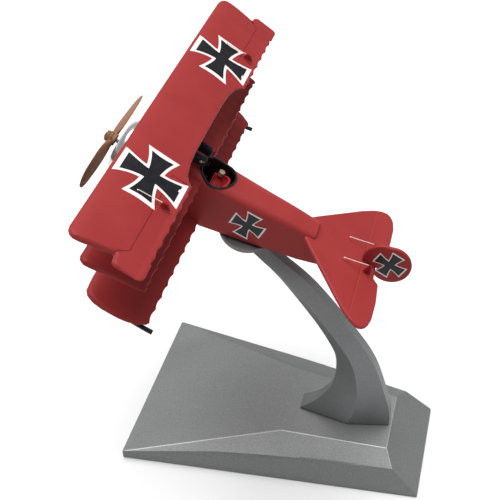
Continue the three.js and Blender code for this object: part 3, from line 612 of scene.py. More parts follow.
def cross_outline(half, arm_end, throat):
    """A cross with four arms that flare to their ends, as points in its own plane."""
    steps = 10
    outline = []
    for a in turns(4):
        turn = Matrix.Rotation(a, 2)
        flare = [Vector((lerp(throat, half, i / steps), lerp(throat, arm_end, (i / steps) ** 1.5)))
                 for i in range(steps + 1)]
        side = [*[Vector((p.x, -p.y)) for p in flare], *flare[::-1][:-1]]
        outline.extend([turn @ p for p in side])
    return outline


def sheet_on(outline, surface, spacing, layer):
    """A thin closed sheet with a flat outline, laid on a surface: surface(u, v, height) is a point."""
    us, vs = [p.x for p in outline], [p.y for p in outline]
    inner = [Vector((u, v)) for u in np.arange(min(us) + spacing / 2, max(us), spacing)
             for v in np.arange(min(vs) + spacing / 2, max(vs), spacing)]
    count = len(outline)
    edges = [(i, (i + 1) % count) for i in range(count)]
    points, _, faces, *_ = delaunay_2d_cdt([*outline, *inner], edges, [], 1, 1e-6)
    bm = bmesh.new()
    bottom, top = [[bm.verts.new(surface(p.x, p.y, height)) for p in points] for height in layer]
    for face in faces:
        bm.faces.new([top[i] for i in face])
        bm.faces.new([bottom[i] for i in reversed(face)])
    pair = dict(zip(top, bottom))
    for edge in [e for e in bm.edges if e.is_boundary and e.verts[0] in pair]:
        a, b = edge.verts
        bm.faces.new((a, b, pair[b], pair[a]))
    loose = [v for v in bm.verts if not v.link_faces]
    bmesh.ops.delete(bm, geom=loose, context="VERTS")
    return mesh_from(bm)


def painted_crosses(name, surface, half, border, arm_end, throat, spacing=0.6):
    """A black cross with a white outline on each side: surface(sign, u, v, height) is a point."""
    outline = cross_outline(half, arm_end, throat)
    inset = cross_outline(half - border, arm_end - border * 1.1, throat - border * 0.75)
    for side, sign in SIDES:
        on_side = partial(surface, sign)
        piece(f"{side}_{name}_border", sheet_on(outline, on_side, spacing, WHITE_LAYER), "off_white_paint",
              materials=[white_paint])
        piece(f"{side}_{name}_cross", sheet_on(inset, on_side, spacing, BLACK_LAYER), "black_paint")


WING_CROSS_X, WING_CROSS_Y = 7.6, 24.5


def on_upper_wing(sign, u, v, height):
    x, y = WING_CROSS_X + u, sign * WING_CROSS_Y + v
    return Vector((x, y, upper.top(x, y) + height))


painted_crosses("wing", on_upper_wing, half=7.75, border=1.1, arm_end=3.95, throat=2.2)

# ---------------- fuselage

# Half width, top, waist, bottom, and squareness below and above the waist, at each station.
HULL_STATIONS = {
    3.6: (7.1, -12.1, -19.0, -26.3, 2, 2),
    8.0: (6.3, -11.0, -17.4, -26.1, 2.8, 2.1),
    13.0: (5.5, -10.1, -14.6, -25.9, 5, 2.2),
    18.0: (5.1, -10.3, -12.2, -25.6, 12, 2.2),
    23.7: (4.9, -10.2, -12.2, -25.3, 16, 2.2),
    34.0: (4.3, -9.6, -12.1, -22.81, 16, 2.5),
    42.0: (3.8, -9.3, -11.9, -20.87, 16, 3.2),
    48.5: (3.3, -9.4, -11.7, -19.29, 16, 4),
    57.0: (1.6, -10.2, -11.9, -17.24, 16, 3),
    65.0: (0.6, -11.4, -12.4, -15.3, 16, 2),
}
HULL_XS = list(HULL_STATIONS)
DECK_END = 48.5
CABIN_REAR = 42.0
HULL_WALL = 0.9
COCKPIT_X, COCKPIT_HALF_LENGTH, COCKPIT_HALF_WIDTH = 20.6, 4.6, 4.7


def hull_at(x):
    """The hull's measures at any station."""
    return [float(np.interp(x, HULL_XS, column)) for column in zip(*HULL_STATIONS.values())]


def hull_ring(x, margin):
    """A cross-section of the hull: a rounded deck over flat sides, grown outwards by a margin."""
    half_width, top, waist, bottom, square, deck_square = hull_at(x)
    ring = []
    for a in turns(72):
        is_deck = math.sin(a) >= 0
        power = 2 / (deck_square if is_deck else square)
        reach = top - waist if is_deck else waist - bottom
        y = (half_width + margin) * math.copysign(abs(math.cos(a)) ** power, math.cos(a))
        z = (reach + margin) * math.copysign(abs(math.sin(a)) ** power, math.sin(a))
        ring.append(Vector((x, y, waist + z)))
    return ring


def deck_height(x, y):
    half_width, top, waist, *_, deck_square = hull_at(x)
    across = min(abs(y) / half_width, 1)
    return waist + (top - waist) * (1 - across**deck_square) ** (1 / deck_square)


def hull_side(x, z):
    """Half width of the flat side at a station and height."""
    half_width, _, waist, bottom, square, _ = hull_at(x)
    depth = clamped((waist - z) / (waist - bottom))
    return half_width * (1 - depth**square) ** (1 / square)


def hull_mesh(start, stop, margin, overrun=0.0):
    xs = sorted({*np.linspace(start, stop, 60), *[x for x in HULL_XS if start < x < stop]})
    rings = [hull_ring(x, margin) for x in xs]
    if overrun:
        rings.insert(0, [p - Vector((overrun, 0, 0)) for p in rings[0]])
    return lofted(rings)


def is_inside_hull(point):
    """Whether a point is under the hull's skin, on the cabin's walls."""
    half_width, top, waist, bottom, square, deck_square = hull_at(point.x)
    reach = top - waist if point.z > waist else waist - bottom
    power = deck_square if point.z > waist else square
    return (abs(point.y) / half_width) ** power + (abs(point.z - waist) / reach) ** power < 0.95**power


def cockpit_oval(z_at):
    """The cockpit's opening as a ring of points, at heights z_at(x, y)."""
    rim = [(COCKPIT_X + COCKPIT_HALF_LENGTH * math.cos(a), COCKPIT_HALF_WIDTH * math.sin(a))
           for a in turns(72)]
    return [Vector((x, y, z_at(x, y))) for x, y in rim]


tail_low, tail_high = local_box("tailplane")
shell = cut(
    hull_mesh(HULL_XS[0], HULL_XS[-1], 0),
    hull_mesh(HULL_XS[0], CABIN_REAR, -HULL_WALL, overrun=2.0),
    lofted([cockpit_oval(lambda x, y: z) for z in (-14.5, -5.0)]),
    box((DECK_END, -12, tail_high.z - 0.25), (75, 12, 0)),
)
shell = bevelled(shell, 0.12, 50)
# The cabin's inner walls take the near-black painted shade.
for face in shell.polygons:
    if face.center.x < CABIN_REAR + 0.5 and is_inside_hull(face.center):
        face.material_index = 1
piece("fuselage_skin", shell, "red_paint", ["fuselage", "belly_insert"],
      materials=[FINISHES["red_paint"], cabin_shade], smooth=28)

FUSELAGE_CROSS_X, FUSELAGE_CROSS_Z = 33.4, -16.7


def on_hull(sign, u, v, height):
    x, z = FUSELAGE_CROSS_X + u, FUSELAGE_CROSS_Z + v
    return Vector((x, sign * (hull_side(x, z) + height), z))


painted_crosses("fuselage", on_hull, half=4.25, border=0.45, arm_end=2.15, throat=1.15, spacing=0.5)

# ---------------- cockpit and guns

RIM_RADIUS = 0.3
STITCHES = 18
rim = cockpit_oval(lambda x, y: deck_height(x, y) + 0.05)
rings = []
for i, p in enumerate(rim):
    ahead = (rim[(i + 1) % len(rim)] - rim[i - 1]).normalized()
    outward = Vector((ahead.y, -ahead.x, 0)).normalized()
    puffed = RIM_RADIUS + 0.02 * math.cos(STITCHES * 2 * math.pi * i / len(rim))
    rings.append(ring_at(p, outward, outward.cross(ahead) * 1.1, 14, puffed))
piece("cockpit_rim", lofted(rings, closed=True), "black_paint", ["cockpit_coaming"])


def gun_jacket():
    """Profile of a gun's cooling jacket from its muzzle back, with a row of vents."""
    profile = [[0, 2.9], [0.36, 2.9], [0.4, 3.1], [0.4, 3.6], [0.62, 3.75]]
    for vent in range(9):
        start = 3.9 + vent * 0.85
        profile += [[0.62, start], [0.54, start + 0.14], [0.54, start + 0.52], [0.62, start + 0.66]]
    return [*profile, [0.62, 11.9], [0, 11.9]]


for side, sign in SIDES:
    low, high = local_box(f"{side}_gun")
    y, z, back = (low.y + high.y) / 2, high.z - 0.75, high.x
    parts = [turned(gun_jacket(), centre=(0, y, z), sides=28)]
    # The receiver, its feed block, its cover and its mount: x from and to, half width, z from and to.
    for start, stop, half_width, bottom, top, rounding in [
        (11.4, back - 0.7, 0.6, -1.5, 0.75, 0.12),
        (12.0, 14.0, 0.95, -0.5, 0.3, 0.12),
        (13.0, 15.5, 0.3, 0.6, 1.0, 0.08),
        (12.6, 13.7, 0.3, -2.3, -1.0, 0.12),
    ]:
        parts.append(box((start, y - half_width, z + bottom), (stop, y + half_width, z + top), rounding))
    for grip_y in (y - 0.45, y + 0.45):
        grip = [(back - 0.8, grip_y, z - 0.7), (back - 0.2, grip_y, z - 0.5), (back, grip_y, z + 0.1)]
        parts.append(rod(grip, 0.14))
    piece(f"{side}_machine_gun", joined(*parts), "black_paint", [f"{side}_gun"], smooth=30)
    # The crank is a real part; its pale brass partly stands in for a painted highlight on the gun.
    crank = joined(
        turned([[0, 0], [0.34, 0], [0.38, 0.1], [0.2, 0.22], [0, 0.24]], axis=(0, sign, 0),
               centre=(15.6, y + sign * 0.6, z - 0.1), sides=20),
        rod([(15.6, y + sign * 0.75, z - 0.1), (16.3, y + sign * 0.8, z + 0.45)], 0.1),
    )
    piece(f"{side}_gun_crank", crank, "brass_paint")

# The pilot's seat: a bucket with a rounded back and a padded roll round its edge.
SEAT_X, SEAT_BACK, SEAT_HALF_WIDTH = 22.0, 24.3, 2.9
SEAT_PAN_Z = -14.9
SEAT_EDGE = (-13.7, -11.8)  # heights at the arms and at the back


def seat_ring(inset, heights, count=25):
    """The seat seen from above: two arms joined by a round back, with heights at the arms and the back."""
    ring = []
    for a in np.linspace(-math.pi / 2, math.pi / 2, count):
        back = math.cos(a)
        ring.append(Vector((SEAT_X + (SEAT_BACK - SEAT_X - inset) * back,
                            (SEAT_HALF_WIDTH - inset) * math.sin(a), lerp(*heights, back))))
    arm_end = SEAT_X - 1.8 + inset * 0.4
    first, last = ring[0], ring[-1]
    return [Vector((arm_end, first.y, first.z)), *ring, Vector((arm_end, last.y, last.z))]


def over_pan(z):
    """One height over the seat's pan, for the arms and the back."""
    return SEAT_PAN_Z + z, SEAT_PAN_Z + z


bucket = [(0.15, over_pan(-1.0)), (0, over_pan(0.6)), (0, SEAT_EDGE), (0.35, SEAT_EDGE),
          (0.55, over_pan(0.7)), (0.9, over_pan(0))]
seat_look = {"slot": "dark_red_paint", "materials": [seat_paint]}
piece("seat_bucket", lofted([seat_ring(*row) for row in bucket]), replaces=["pilot_seat"], smooth=50,
      **seat_look)
roll = [p + Vector((0, 0, 0.05)) for p in seat_ring(0.18, SEAT_EDGE, 40)[1:-1]]
piece("seat_roll", rod(roll, 0.3), smooth=60, **seat_look)
cushion = bmesh.new()
bmesh.ops.create_uvsphere(cushion, u_segments=32, v_segments=16, radius=1)
for vertex in cushion.verts:
    x, y, z = vertex.co
    full = 1 - 0.12 * (x * x * y * y)
    vertex.co = Vector((SEAT_X + 0.1 + 1.75 * x * full, 2.2 * y * full, SEAT_PAN_Z + 0.35 + 0.55 * z))
piece("seat_cushion", mesh_from(cushion), "dark_red_paint", smooth=60)

DIALS = [(-2.6, -12.2, 0.55), (-1.1, -12.0, 0.65), (0.6, -12.1, 0.6), (2.2, -12.3, 0.5), (-1.8, -13.6, 0.45),
         (1.5, -13.7, 0.45)]  # y, z and radius on the instrument board
dial_x = local_box("instrument_board")[1].x - 0.02
for i, (y, z, radius) in enumerate(DIALS):
    profile = [[0, 0], [radius, 0], [radius, 0.16], [radius - 0.12, 0.2], [radius - 0.16, 0.1], [0, 0.1]]
    piece(f"dial_{i + 1}", turned(profile, centre=(dial_x, y, z), sides=24), "brass_paint")

# ---------------- tail

TAIL_THICKNESS = tail_high.z - tail_low.z
TAIL_MIDDLE = (tail_low.z + tail_high.z) / 2
ELEVATOR_GAP = 62.6
TAIL_NOSE = [[0, 46.2], [3.9, 46.3], [5, 47.3], [11, 53.2], [16.4, 58.5], [18.6, 61.0], [19.6, 62.3],
             [20.3, 63.6], [20.8, 65.0]]
TAIL_TAIL = [[0, 66.2], [3.9, 66.3], [5, 67.9], [11, 68.5], [16.4, 68.4], [18.6, 67.9], [19.6, 67.4],
             [20.3, 66.8], [20.8, 65.8]]


def flat_plate(stations, nose, tail, rounding):
    """A closed panel of the tailplane with rounded edges, between a nose line and a tail line."""
    grid = panel_grid(stations, nose, tail, columns=30, near_edges=(0.0012, 0.9988))
    outline = [(nose(y), y) for y in stations] + [(tail(y), y) for y in reversed(stations)]
    gap = distance_to(grid.reshape(-1, 2), np.array([*outline, outline[0]]))
    return closed_plate(grid, rounded(gap, rounding), TAIL_MIDDLE,
                        lambda x, y, share: share * TAIL_THICKNESS, (0.5, -0.5))


def tail_nose(y):
    return between(TAIL_NOSE, y)


def tail_tail(y):
    return between(TAIL_TAIL, y)


def tail_hinge(y):
    """Where the elevators meet the tailplane."""
    return min(max(ELEVATOR_GAP, tail_nose(y)), tail_tail(y))


def elevator_nose(y):
    return tail_hinge(y) - (0.45 if abs(y) < 19.5 else 0)


stations = [y for y in spaced(-tail_high.y, tail_high.y, coarse=0.5, fine=0.15) if abs(y) <= 19.7]
piece("tailplane_skin", flat_plate(stations, tail_nose, tail_hinge, 0.55), "red_paint", ["tailplane"])
for side, sign in SIDES:
    stations = [sign * y for y in spaced(0.0, tail_high.y, (False, True), 0.5, 0.15)]
    piece(f"{side}_elevator", flat_plate(stations, elevator_nose, tail_tail, 0.5), "red_paint")

# The rudder is a tilted oval, joined to a second one ahead of its hinge line. Radii are along x and z.
rudder_low, rudder_high = local_box("rudder")
RUDDER_X, RUDDER_Z = 68.3, (rudder_low.z + rudder_high.z) / 2
RUDDER_RADII, RUDDER_TILT = (5.13, 5.7), 0.25
FRONT_CENTRE, FRONT_RADII = Vector((-2.2, -0.3)), (4.9, 5.2)
RUDDER_HALF = (rudder_high.y - rudder_low.y) / 2


def oval_reach(centre, radii, ahead):
    """How far an oval reaches from the origin, which is inside it, in a direction."""
    start = Vector((-centre.x / radii[0], -centre.y / radii[1]))
    step = Vector((ahead.x / radii[0], ahead.y / radii[1]))
    b, c = start.dot(step), start.dot(start) - 1
    return (-b + math.sqrt(b * b - step.dot(step) * c)) / step.dot(step)


def rudder_ring(scale, y):
    """The rudder's outline at one distance from its middle plane."""
    ring = []
    for a in turns(120):
        ahead = Vector((math.cos(a), math.sin(a)))
        tilted = Matrix.Rotation(-RUDDER_TILT, 2) @ ahead
        reach = scale * max(oval_reach(Vector((0, 0)), RUDDER_RADII, tilted),
                            oval_reach(FRONT_CENTRE, FRONT_RADII, ahead))
        ring.append(Vector((RUDDER_X + ahead.x * reach, y, RUDDER_Z + ahead.y * reach)))
    return ring


edge = [(0.9, -1), (0.955, -0.95), (0.985, -0.7), (1, 0), (0.985, 0.7), (0.955, 0.95), (0.9, 1)]
under_tailplane = box((55, -3, -20), (66.6, 3, tail_high.z + 0.3))
rudder_mesh = cut(lofted([rudder_ring(scale, y * RUDDER_HALF) for scale, y in edge]), under_tailplane)
piece("rudder_skin", rudder_mesh, "red_paint", ["rudder"], smooth=35)


def on_rudder(sign, u, v, height):
    return Vector((RUDDER_X - 0.3 + u, sign * (RUDDER_HALF + height), RUDDER_Z + 0.2 + v))


painted_crosses("rudder", on_rudder, half=3.95, border=0.36, arm_end=1.85, throat=1.1, spacing=1.0)

# ---------------- nose

NOSE = Vector((0, 0, HUB.z))
COWL_LIP = 2.8
COWL_WALL = 0.45
GROOVES = (0.3, 1.9)
cowl_low, cowl_high = local_box("cowling")
cowl_front, cowl_rear, cowl_radius = cowl_low.x, cowl_high.x, cowl_high.y
mouth = cowl_radius - COWL_LIP


def lip(radius, angles):
    """The cowl's rounded front, as [radius, along] pairs."""
    return [[mouth + radius * math.sin(a), cowl_front + COWL_LIP - radius * math.cos(a)] for a in angles]


profile = [[mouth - 0.1, cowl_front + 0.32], [mouth - 0.1, cowl_front + 0.1]]
profile += lip(COWL_LIP, np.linspace(0, math.pi / 2, 14))
for groove in GROOVES:
    profile += [[cowl_radius, groove - 0.1], [cowl_radius - 0.09, groove], [cowl_radius, groove + 0.1]]
profile += [[cowl_radius, cowl_rear], [cowl_radius - COWL_WALL, cowl_rear]]
profile += lip(COWL_LIP - COWL_WALL, np.linspace(math.pi / 2, 0, 10))
scoop = box((cowl_front - 1, -2.6, HUB.z - cowl_radius - 1), (cowl_rear - 2.4, 2.6, HUB.z - 3))
cowl = bevelled(cut(turned(profile, centre=NOSE, sides=96), scoop), 0.1, 60)
piece("cowl", cowl, "silver_paint", ["cowling"], smooth=50)

CYLINDERS = 9
barrel = [[0, 1.4], [0.72, 1.4]]
for fin in range(9):
    start = 2.45 + fin * 0.36
    barrel += [[0.72, start], [1.08, start + 0.05], [1.08, start + 0.17], [0.72, start + 0.22]]
barrel += [[0.62, 5.8], [0.5, 6.15], [0, 6.2]]
parts = []
for a in turns(CYLINDERS):
    outward = Vector((0, math.sin(a), math.cos(a)))
    parts.append(turned(barrel, axis=outward, centre=NOSE, sides=20))
    beside = NOSE + outward.cross(Vector((1, 0, 0))) * 0.35
    push_rod = [beside + outward * 2.2 + Vector((-0.9, 0, 0)), beside + outward * 5.9 + Vector((-0.75, 0, 0))]
    parts.append(rod(push_rod, 0.11, 8))
crankcase = [[0, -1.9], [1.3, -1.9], [1.5, -1.6], [2.1, -1.4], [2.4, -1.0], [2.5, -0.9], [2.5, 1.5], [0, 1.6]]
parts.append(turned(crankcase, centre=NOSE, sides=40))


def bolts(centre, angles, radius, at_x, length, bolt_radius):
    """A circle of hexagonal bolt heads that face forward."""
    feet = [centre + Vector((at_x, radius * math.sin(a), radius * math.cos(a))) for a in angles]
    return [rod([foot, foot - Vector((length, 0, 0))], bolt_radius, 6) for foot in feet]


parts += bolts(NOSE, [a + math.pi / CYLINDERS for a in turns(CYLINDERS)], 1.75, -1.5, 0.35, 0.13)
piece("engine", joined(*parts), "steel", ["rotary_engine"], smooth=35)

prop_low, prop_high = local_box("propeller", hub_frame)
PROPELLER_RADIUS = max(-prop_low.y, prop_high.y)
PROPELLER_REST = math.radians(2)
BLADE = [(0.4, 1.5, 1.4, 46), (1.6, 1.7, 1.3, 44), (3, 2.3, 1.05, 38), (5, 3.3, 0.85, 32), (8, 4.1, 0.68, 27),
         (11.5, 4.3, 0.55, 24), (15, 4.0, 0.45, 22), (17, 3.1, 0.36, 21), (18.0, 1.9, 0.3, 21),
         (PROPELLER_RADIUS - 0.05, 0.7, 0.22, 21)]  # radius, chord, thickness and pitch in degrees


def blade(turn):
    """One blade of the propeller, which points along y before it is turned."""
    stations = smooth_line([row[:3] for row in BLADE], 48)
    pitches = np.interp(stations[:, 0], [row[0] for row in BLADE], [row[3] for row in BLADE])
    rings = []
    for (radius, chord, thickness), pitch in zip(stations, pitches):
        twist = Matrix.Rotation(math.radians(pitch), 3, "Y")
        ring = []
        for a in turns(24):
            camber = 0.12 * thickness * math.cos(a) ** 2
            section = Vector((thickness / 2 * math.sin(a) - camber, 0, chord / 2 * math.cos(a)))
            ring.append(turn @ (twist @ section + Vector((0, radius, 0))))
        rings.append(ring)
    return lofted(rings)


on_propeller = {"slot": "brown_plastic", "body": "propeller", "place": hub_frame}
blades = [blade(Matrix.Rotation(PROPELLER_REST + half_turn, 3, "X")) for half_turn in (0, math.pi)]
boss = [[0, -1.0], [1.35, -1.0], [1.6, -0.8], [1.62, -0.2], [1.5, -0.05], [1.62, 0.1], [1.62, 0.8],
        [1.4, 1.0], [0, 1.0]]
piece("airscrew", joined(*blades, turned(boss, sides=40)), replaces=["propeller"], **on_propeller)

hub_plate = [[0, -2.05], [0.5, -2.03], [0.72, -1.9], [0.78, -1.6], [1.1, -1.55], [1.38, -1.45], [1.42, -1.1],
             [1.3, -0.98], [0, -0.98]]
hub_bolts = bolts(Vector(), [a + math.pi / 2 for a in turns(6)], 1.08, -1.4, 0.4, 0.19)
piece("airscrew_hub", joined(turned(hub_plate, sides=40), *hub_bolts), replaces=["propeller_hub_plate"],
      smooth=35, **on_propeller)

# ---------------- struts, wires and skids


def strut(start, end, chord, thickness, steps=9, waist=0.0):
    """A streamlined strut with its chord fore and aft, which may swell in the middle."""
    rings = []
    for t in np.linspace(0, 1, steps):
        centre = Vector(start).lerp(Vector(end), t)
        swell = 1 - waist * (2 * t - 1) ** 2
        ring = []
        for a in turns(28):
            side = math.copysign(abs(math.sin(a)) ** 1.25, math.sin(a))
            nose = math.cos(a) - 0.12 * math.sin(a) ** 2
            ring.append(centre + Vector((chord / 2 * nose * swell, thickness / 2 * side * swell, 0)))
        rings.append(ring)
    return lofted(rings)


STRUTS = {"upper_strut": (11.4, 7.6), "lower_strut": (15.6, 11.9)}  # x of the bottom and of the top
for side, sign in SIDES:
    for name, (bottom_x, top_x) in STRUTS.items():
        node = f"{side}_{name}"
        low, high = local_box(node)
        y = (low.y + high.y) / 2
        bottom, top = Vector((bottom_x, y, low.z)), Vector((top_x, y, high.z))
        cuffs = [strut(end, end.lerp(inward, 0.07), 3.1, 1.1, steps=2)
                 for end, inward in ((bottom, top), (top, bottom))]
        piece(f"{node}_fairing", joined(strut(bottom, top, 3.4, 0.9, waist=0.12), *cuffs), "red_paint",
              [node], smooth=50)

    low, high = local_box(f"{side}_cabane_strut")
    apex = Vector((5.6, sign * 6.0, high.z))
    feet = ((4.6, sign * 4.6, low.z), (12.4, sign * 4.2, low.z))
    legs = [strut(foot, apex, 0.9, 0.7, waist=0.1) for foot in feet]
    piece(f"{side}_cabane", joined(*legs), "red_paint", [f"{side}_cabane_strut"], smooth=50)

    low, high = local_box(f"{side}_wing_skid")
    y = (low.y + high.y) / 2
    line = smooth_line([(low.x, y - sign * 0.4, low.z + 0.42), (low.x + 3, y - sign * 0.25, low.z + 0.42),
                        (high.x - 4, y + sign * 0.1, low.z + 0.5),
                        (high.x - 0.3, y + sign * 0.42, high.z - 0.42)], 30)
    parts = [rod(line, 0.55, 16)]
    for x in (low.x + 2.0, low.x + 7.5):
        near = min(line, key=lambda p: abs(p[0] - x))
        parts.append(rod([near, (x, near[1], lower.line - 0.3)], 0.28, 10))
    piece(f"{side}_skid", joined(*parts), "black_paint", [f"{side}_wing_skid"], smooth=50)

    for surface in ("aileron", "elevator"):
        wire, horn = f"{side}_{surface}_wire", f"{side}_{surface}_horn"
        low, high = local_box(wire)
        middle = (low + high) / 2
        start, stop = Vector((low.x, middle.y, low.z + 0.15)), Vector((high.x, middle.y, high.z - 0.15))
        cable = rod(smooth_line([start, middle - Vector((0, 0, 0.05)), stop], 16), 0.1, 8)
        foot = rod([start - Vector((0.3, 0, 0.25)), start], 0.16, 8)
        piece(f"{wire}_cable", joined(cable, foot), "off_white_paint", [wire])
        # The horn lever's darker red is partly painted shade.
        low, high = local_box(horn)
        foot, thin = (low + high) / 2, Vector((0, 0.24, 0))
        foot.z = low.z - 0.1
        rings = []
        for t in np.linspace(0, 1, 6):
            centre = foot + Vector((-0.25 * t, 0, (high.z - foot.z) * t))
            reach = Vector(((high.x - low.x) * 0.85 * (1 - 0.6 * t), 0, 0))
            rings.append(ring_at(centre, reach, thin, 16))
        piece(f"{horn}_lever", lofted(rings), "dark_red_paint", [horn], smooth=50)

low, high = local_box("tail_skid")
line = smooth_line([(57.8, 0, -17.2), (61.5, 0, -19.9), (high.x - 0.2, 0, low.z + 0.4)], 24)
piece("tail_skid_bow", rod(line, 0.42, 14), "brown_plastic", ["tail_skid"], smooth=50)

# ---------------- undercarriage

axle_low, axle_high = local_box("axle")
AXLE = (axle_low + axle_high) / 2
low, high = local_box("axle_fairing")
middle, reach = (low + high) / 2, (high - low) / 2
rings = []
for y in np.linspace(low.y, high.y, 13):
    ring = []
    for a in turns(48):
        taper = 1 - 0.35 * max(math.cos(a), 0) ** 2
        ring.append(Vector((middle.x + reach.x * math.cos(a), y, middle.z + reach.z * math.sin(a) * taper)))
    rings.append(ring)
piece("axle_wing", lofted(rings), "red_paint", ["axle_fairing"], smooth=45)

TYRE_RIM = 3.8
TYRE_OPENING = 0.86 * math.pi  # a tyre's round section is open beyond this angle, at its rim
for side, sign in SIDES:
    low, high = local_box(f"{side}_undercarriage_vee")
    foot = Vector((AXLE.x, sign * 8.7, AXLE.z + 1.1))
    tops = ((4.9, sign * 4.3, -25.9), (13.6, sign * 4.3, -26.6))
    legs = [strut(top, foot, 1.3, 0.7, waist=0.1) for top in tops]
    shoe = box((AXLE.x - 1.25, foot.y - 0.5, low.z), (AXLE.x + 1.25, foot.y + 0.5, AXLE.z + 1.5), 0.35)
    bands = [rod([(x, foot.y - 0.45, AXLE.z + z), (x, foot.y + 0.45, AXLE.z + z)], 0.16, 8)
             for z in np.linspace(-0.9, 0.78, 5) for x in (AXLE.x - 1.28, AXLE.x + 1.28)]
    piece(f"{side}_vee", joined(*legs, shoe, *bands), "red_paint", [f"{side}_undercarriage_vee"], smooth=45)

    low, high = local_box(f"{side}_tyre")
    centre, reach = (low + high) / 2, (high - low) / 2
    depth = (reach.z - TYRE_RIM) / 1.85
    profile = [[reach.z - depth + depth * math.cos(a), reach.y * math.sin(a)]
               for a in np.linspace(-TYRE_OPENING, TYRE_OPENING, 31)]
    lathe = {"axis": (0, 1, 0), "centre": centre, "sides": 72}
    piece(f"{side}_tyre_ring", turned(profile, **lathe), "tyre_black", [f"{side}_tyre"],
          body=f"{side}_wheel", smooth=60)

    cover_high = local_box(f"{side}_wheel_cover")[1]
    outer, bulge, bore = cover_high.z - centre.z, cover_high.y - centre.y, 0.8
    face = [[bore, -bulge], [1.05, -bulge], [1.2, 0.14 - bulge], [2.2, 0.36 - bulge], [outer - 0.25, -0.72],
            [outer, -0.55]]
    profile = [*face, *[[radius, -along] for radius, along in reversed(face)]]
    piece(f"{side}_wheel_disc", turned(profile, **lathe), "red_paint", [f"{side}_wheel_cover"],
          body=f"{side}_wheel", smooth=35)

# ---------------- stand

ON_STAND = {"body": "stand", "place": MODEL}
LOOKS_UP = 0.55  # a face whose normal rises more than this looks up
LOOKS_DOWN = -0.5
LEAST_TURN = math.radians(9)  # two faces that meet at less than this need no rounding
RIDGE_TOP = 10.5  # the plateau's corners are higher than this
DECK_X = 10  # the joints between the deck's own faces lie ahead of this


def rounded_off(bm, edges, offset, segments, **options):
    """Rounds edges of the base, those that an earlier rounding has left."""
    bmesh.ops.bevel(bm, geom=[edge for edge in edges if edge.is_valid], offset=offset, segments=segments,
                    profile=0.5, affect="EDGES", **options)


base = bmesh.new()
for vertex in frame["nodes"]["stand_base"].data.vertices:
    base.verts.new(vertex.co / MM)
bmesh.ops.remove_doubles(base, verts=base.verts, dist=1e-3)
hull = bmesh.ops.convex_hull(base, input=base.verts)
spare = {g for g in (*hull["geom_interior"], *hull["geom_unused"]) if isinstance(g, bmesh.types.BMVert)}
bmesh.ops.delete(base, geom=list(spare), context="VERTS")
bmesh.ops.dissolve_limit(base, angle_limit=math.radians(0.6), verts=base.verts, edges=base.edges)
base.normal_update()
worn_and_highlit_ridges, plain_ridges, creases = [], [], []
for edge in base.edges:
    if len(edge.link_faces) != 2 or edge.calc_face_angle() < LEAST_TURN:
        continue
    rises = [face.normal.z for face in edge.link_faces]
    ends = [vertex.co for vertex in edge.verts]
    high_ends = sum(end.z > RIDGE_TOP for end in ends)
    is_deck_joint = high_ends == 2 and all(end.x < DECK_X for end in ends)
    if min(rises) > LOOKS_UP:
        if high_ends and not is_deck_joint:
            # Only port ridges get the bright edge finish, partly wear and partly a painted highlight; starboard
            # ridges stay plain.
            is_port = min(end.y for end in ends) < 0
            (worn_and_highlit_ridges if is_port else plain_ridges).append(edge)
    elif min(rises) >= LOOKS_DOWN:
        creases.append(edge)
# The port ridges' bevels take the bright edge: wear and a painted highlight.
rounded_off(base, worn_and_highlit_ridges, 0.15, 2, material=1)
rounded_off(base, plain_ridges, 0.3, 3)
rounded_off(base, creases, 0.5, 4, clamp_overlap=True)
piece("base_casting", mesh_from(base), "stand_metal", ["stand_base"],
      materials=[FINISHES["stand_metal"], worn_and_highlit_edge], smooth=10, **ON_STAND)

# The arm's front and rear lines, as x and z.
ARM_FRONT = [[4.9, 11.5], [7.7, 14.1], [10.4, 17.4], [13.2, 23.2], [14.0, 29.0], [13.6, 35.4],
             [11.7, 40.2], [6.7, 48.4], [-2.9, 61.2], [-10.0, 68.5], [-13.8, 72.2]]
ARM_REAR = [[31.2, 11.5], [30.6, 17.5], [28.6, 24.5], [24.0, 36.9], [16.9, 47.6],
            [5.6, 61.5], [-4.0, 69.5], [-7.8, 73.0]]
ARM_STEPS = 70


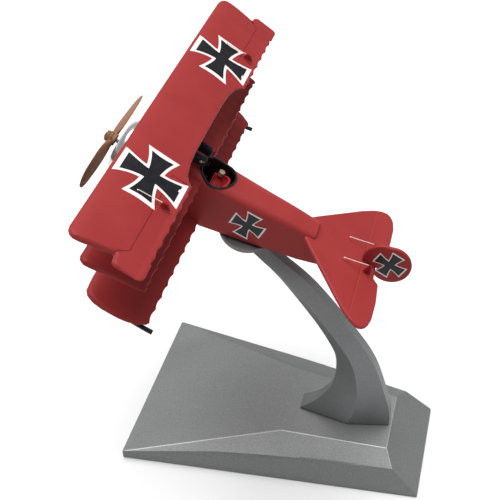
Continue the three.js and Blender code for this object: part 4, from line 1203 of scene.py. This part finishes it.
def evenly_spaced(points, count):
    """Points at even distances along a smooth curve."""
    dense = smooth_line(points, 600)
    travelled = np.concatenate([[0], np.cumsum(np.linalg.norm(np.diff(dense, axis=0), axis=1))])
    at = np.linspace(0, travelled[-1], count)
    return np.column_stack([np.interp(at, travelled, column) for column in dense.T])


rings = []
lines = [evenly_spaced(line, ARM_STEPS + 1) for line in (ARM_FRONT, ARM_REAR)]
for i, (f, r) in enumerate(zip(*lines)):
    t = i / ARM_STEPS
    ridge = lerp(f, r, lerp(0.55, 0.45, t))
    half_widths = (lerp(0.7, 2.6, (1 - t) ** 5), lerp(4.5, 3.2, t), lerp(1.6, 1.3, t))
    starboard = [Vector((x, y, z)) for (x, z), y in zip((f, ridge, r), half_widths)]
    port = [Vector((p.x, -p.y, p.z)) for p in starboard]
    rings.append([port[0], *starboard, *port[:0:-1]])

lift = Vector(joints["lift_off"]["axis"])
BELLY_AT_SEAT = Vector((34.5, 0, -22.985))
SEAT = frame_at(AIRCRAFT @ (BELLY_AT_SEAT * MM), (lift.z, 0, -lift.x))
saddle_low, saddle_high = local_box("stand_saddle", SEAT)
R, T = saddle_high.y, saddle_high.z - saddle_low.z  # the saddle's radius and thickness
room = turned([[0, -T - 0.1], [R * 0.5, -T - 0.1], [R * 0.8, -T * 0.8], [R * 1.2, -0.6], [R * 1.2, 8],
               [0, 8]], axis=(0, 0, 1), sides=48)
room.transform(Matrix.Scale(1 / MM, 4) @ SEAT @ Matrix.Scale(MM, 4))
arm = bevelled(cut(lofted(rings), room), 0.22, 14)
piece("arm_casting", arm, "arm_metal", ["stand_arm"], smooth=12, **ON_STAND)

profile = [[0, -T], [R * 0.45, -T], [R * 0.62, -T * 0.96], [R * 0.78, -T * 0.8], [R * 0.9, -T * 0.56],
           [R * 0.97, -T * 0.33], [R, -T * 0.18], [R, -0.2], [R - 0.12, -0.04], [R - 0.35, 0],
           [R - 0.9, -0.35], [R - 1.1, -0.4], [0, -0.4]]
cup = turned(profile, axis=(0, 0, 1), sides=96)
piece("saddle_cup", cup, "stand_metal", ["stand_saddle"], body="stand", place=SEAT, smooth=30)
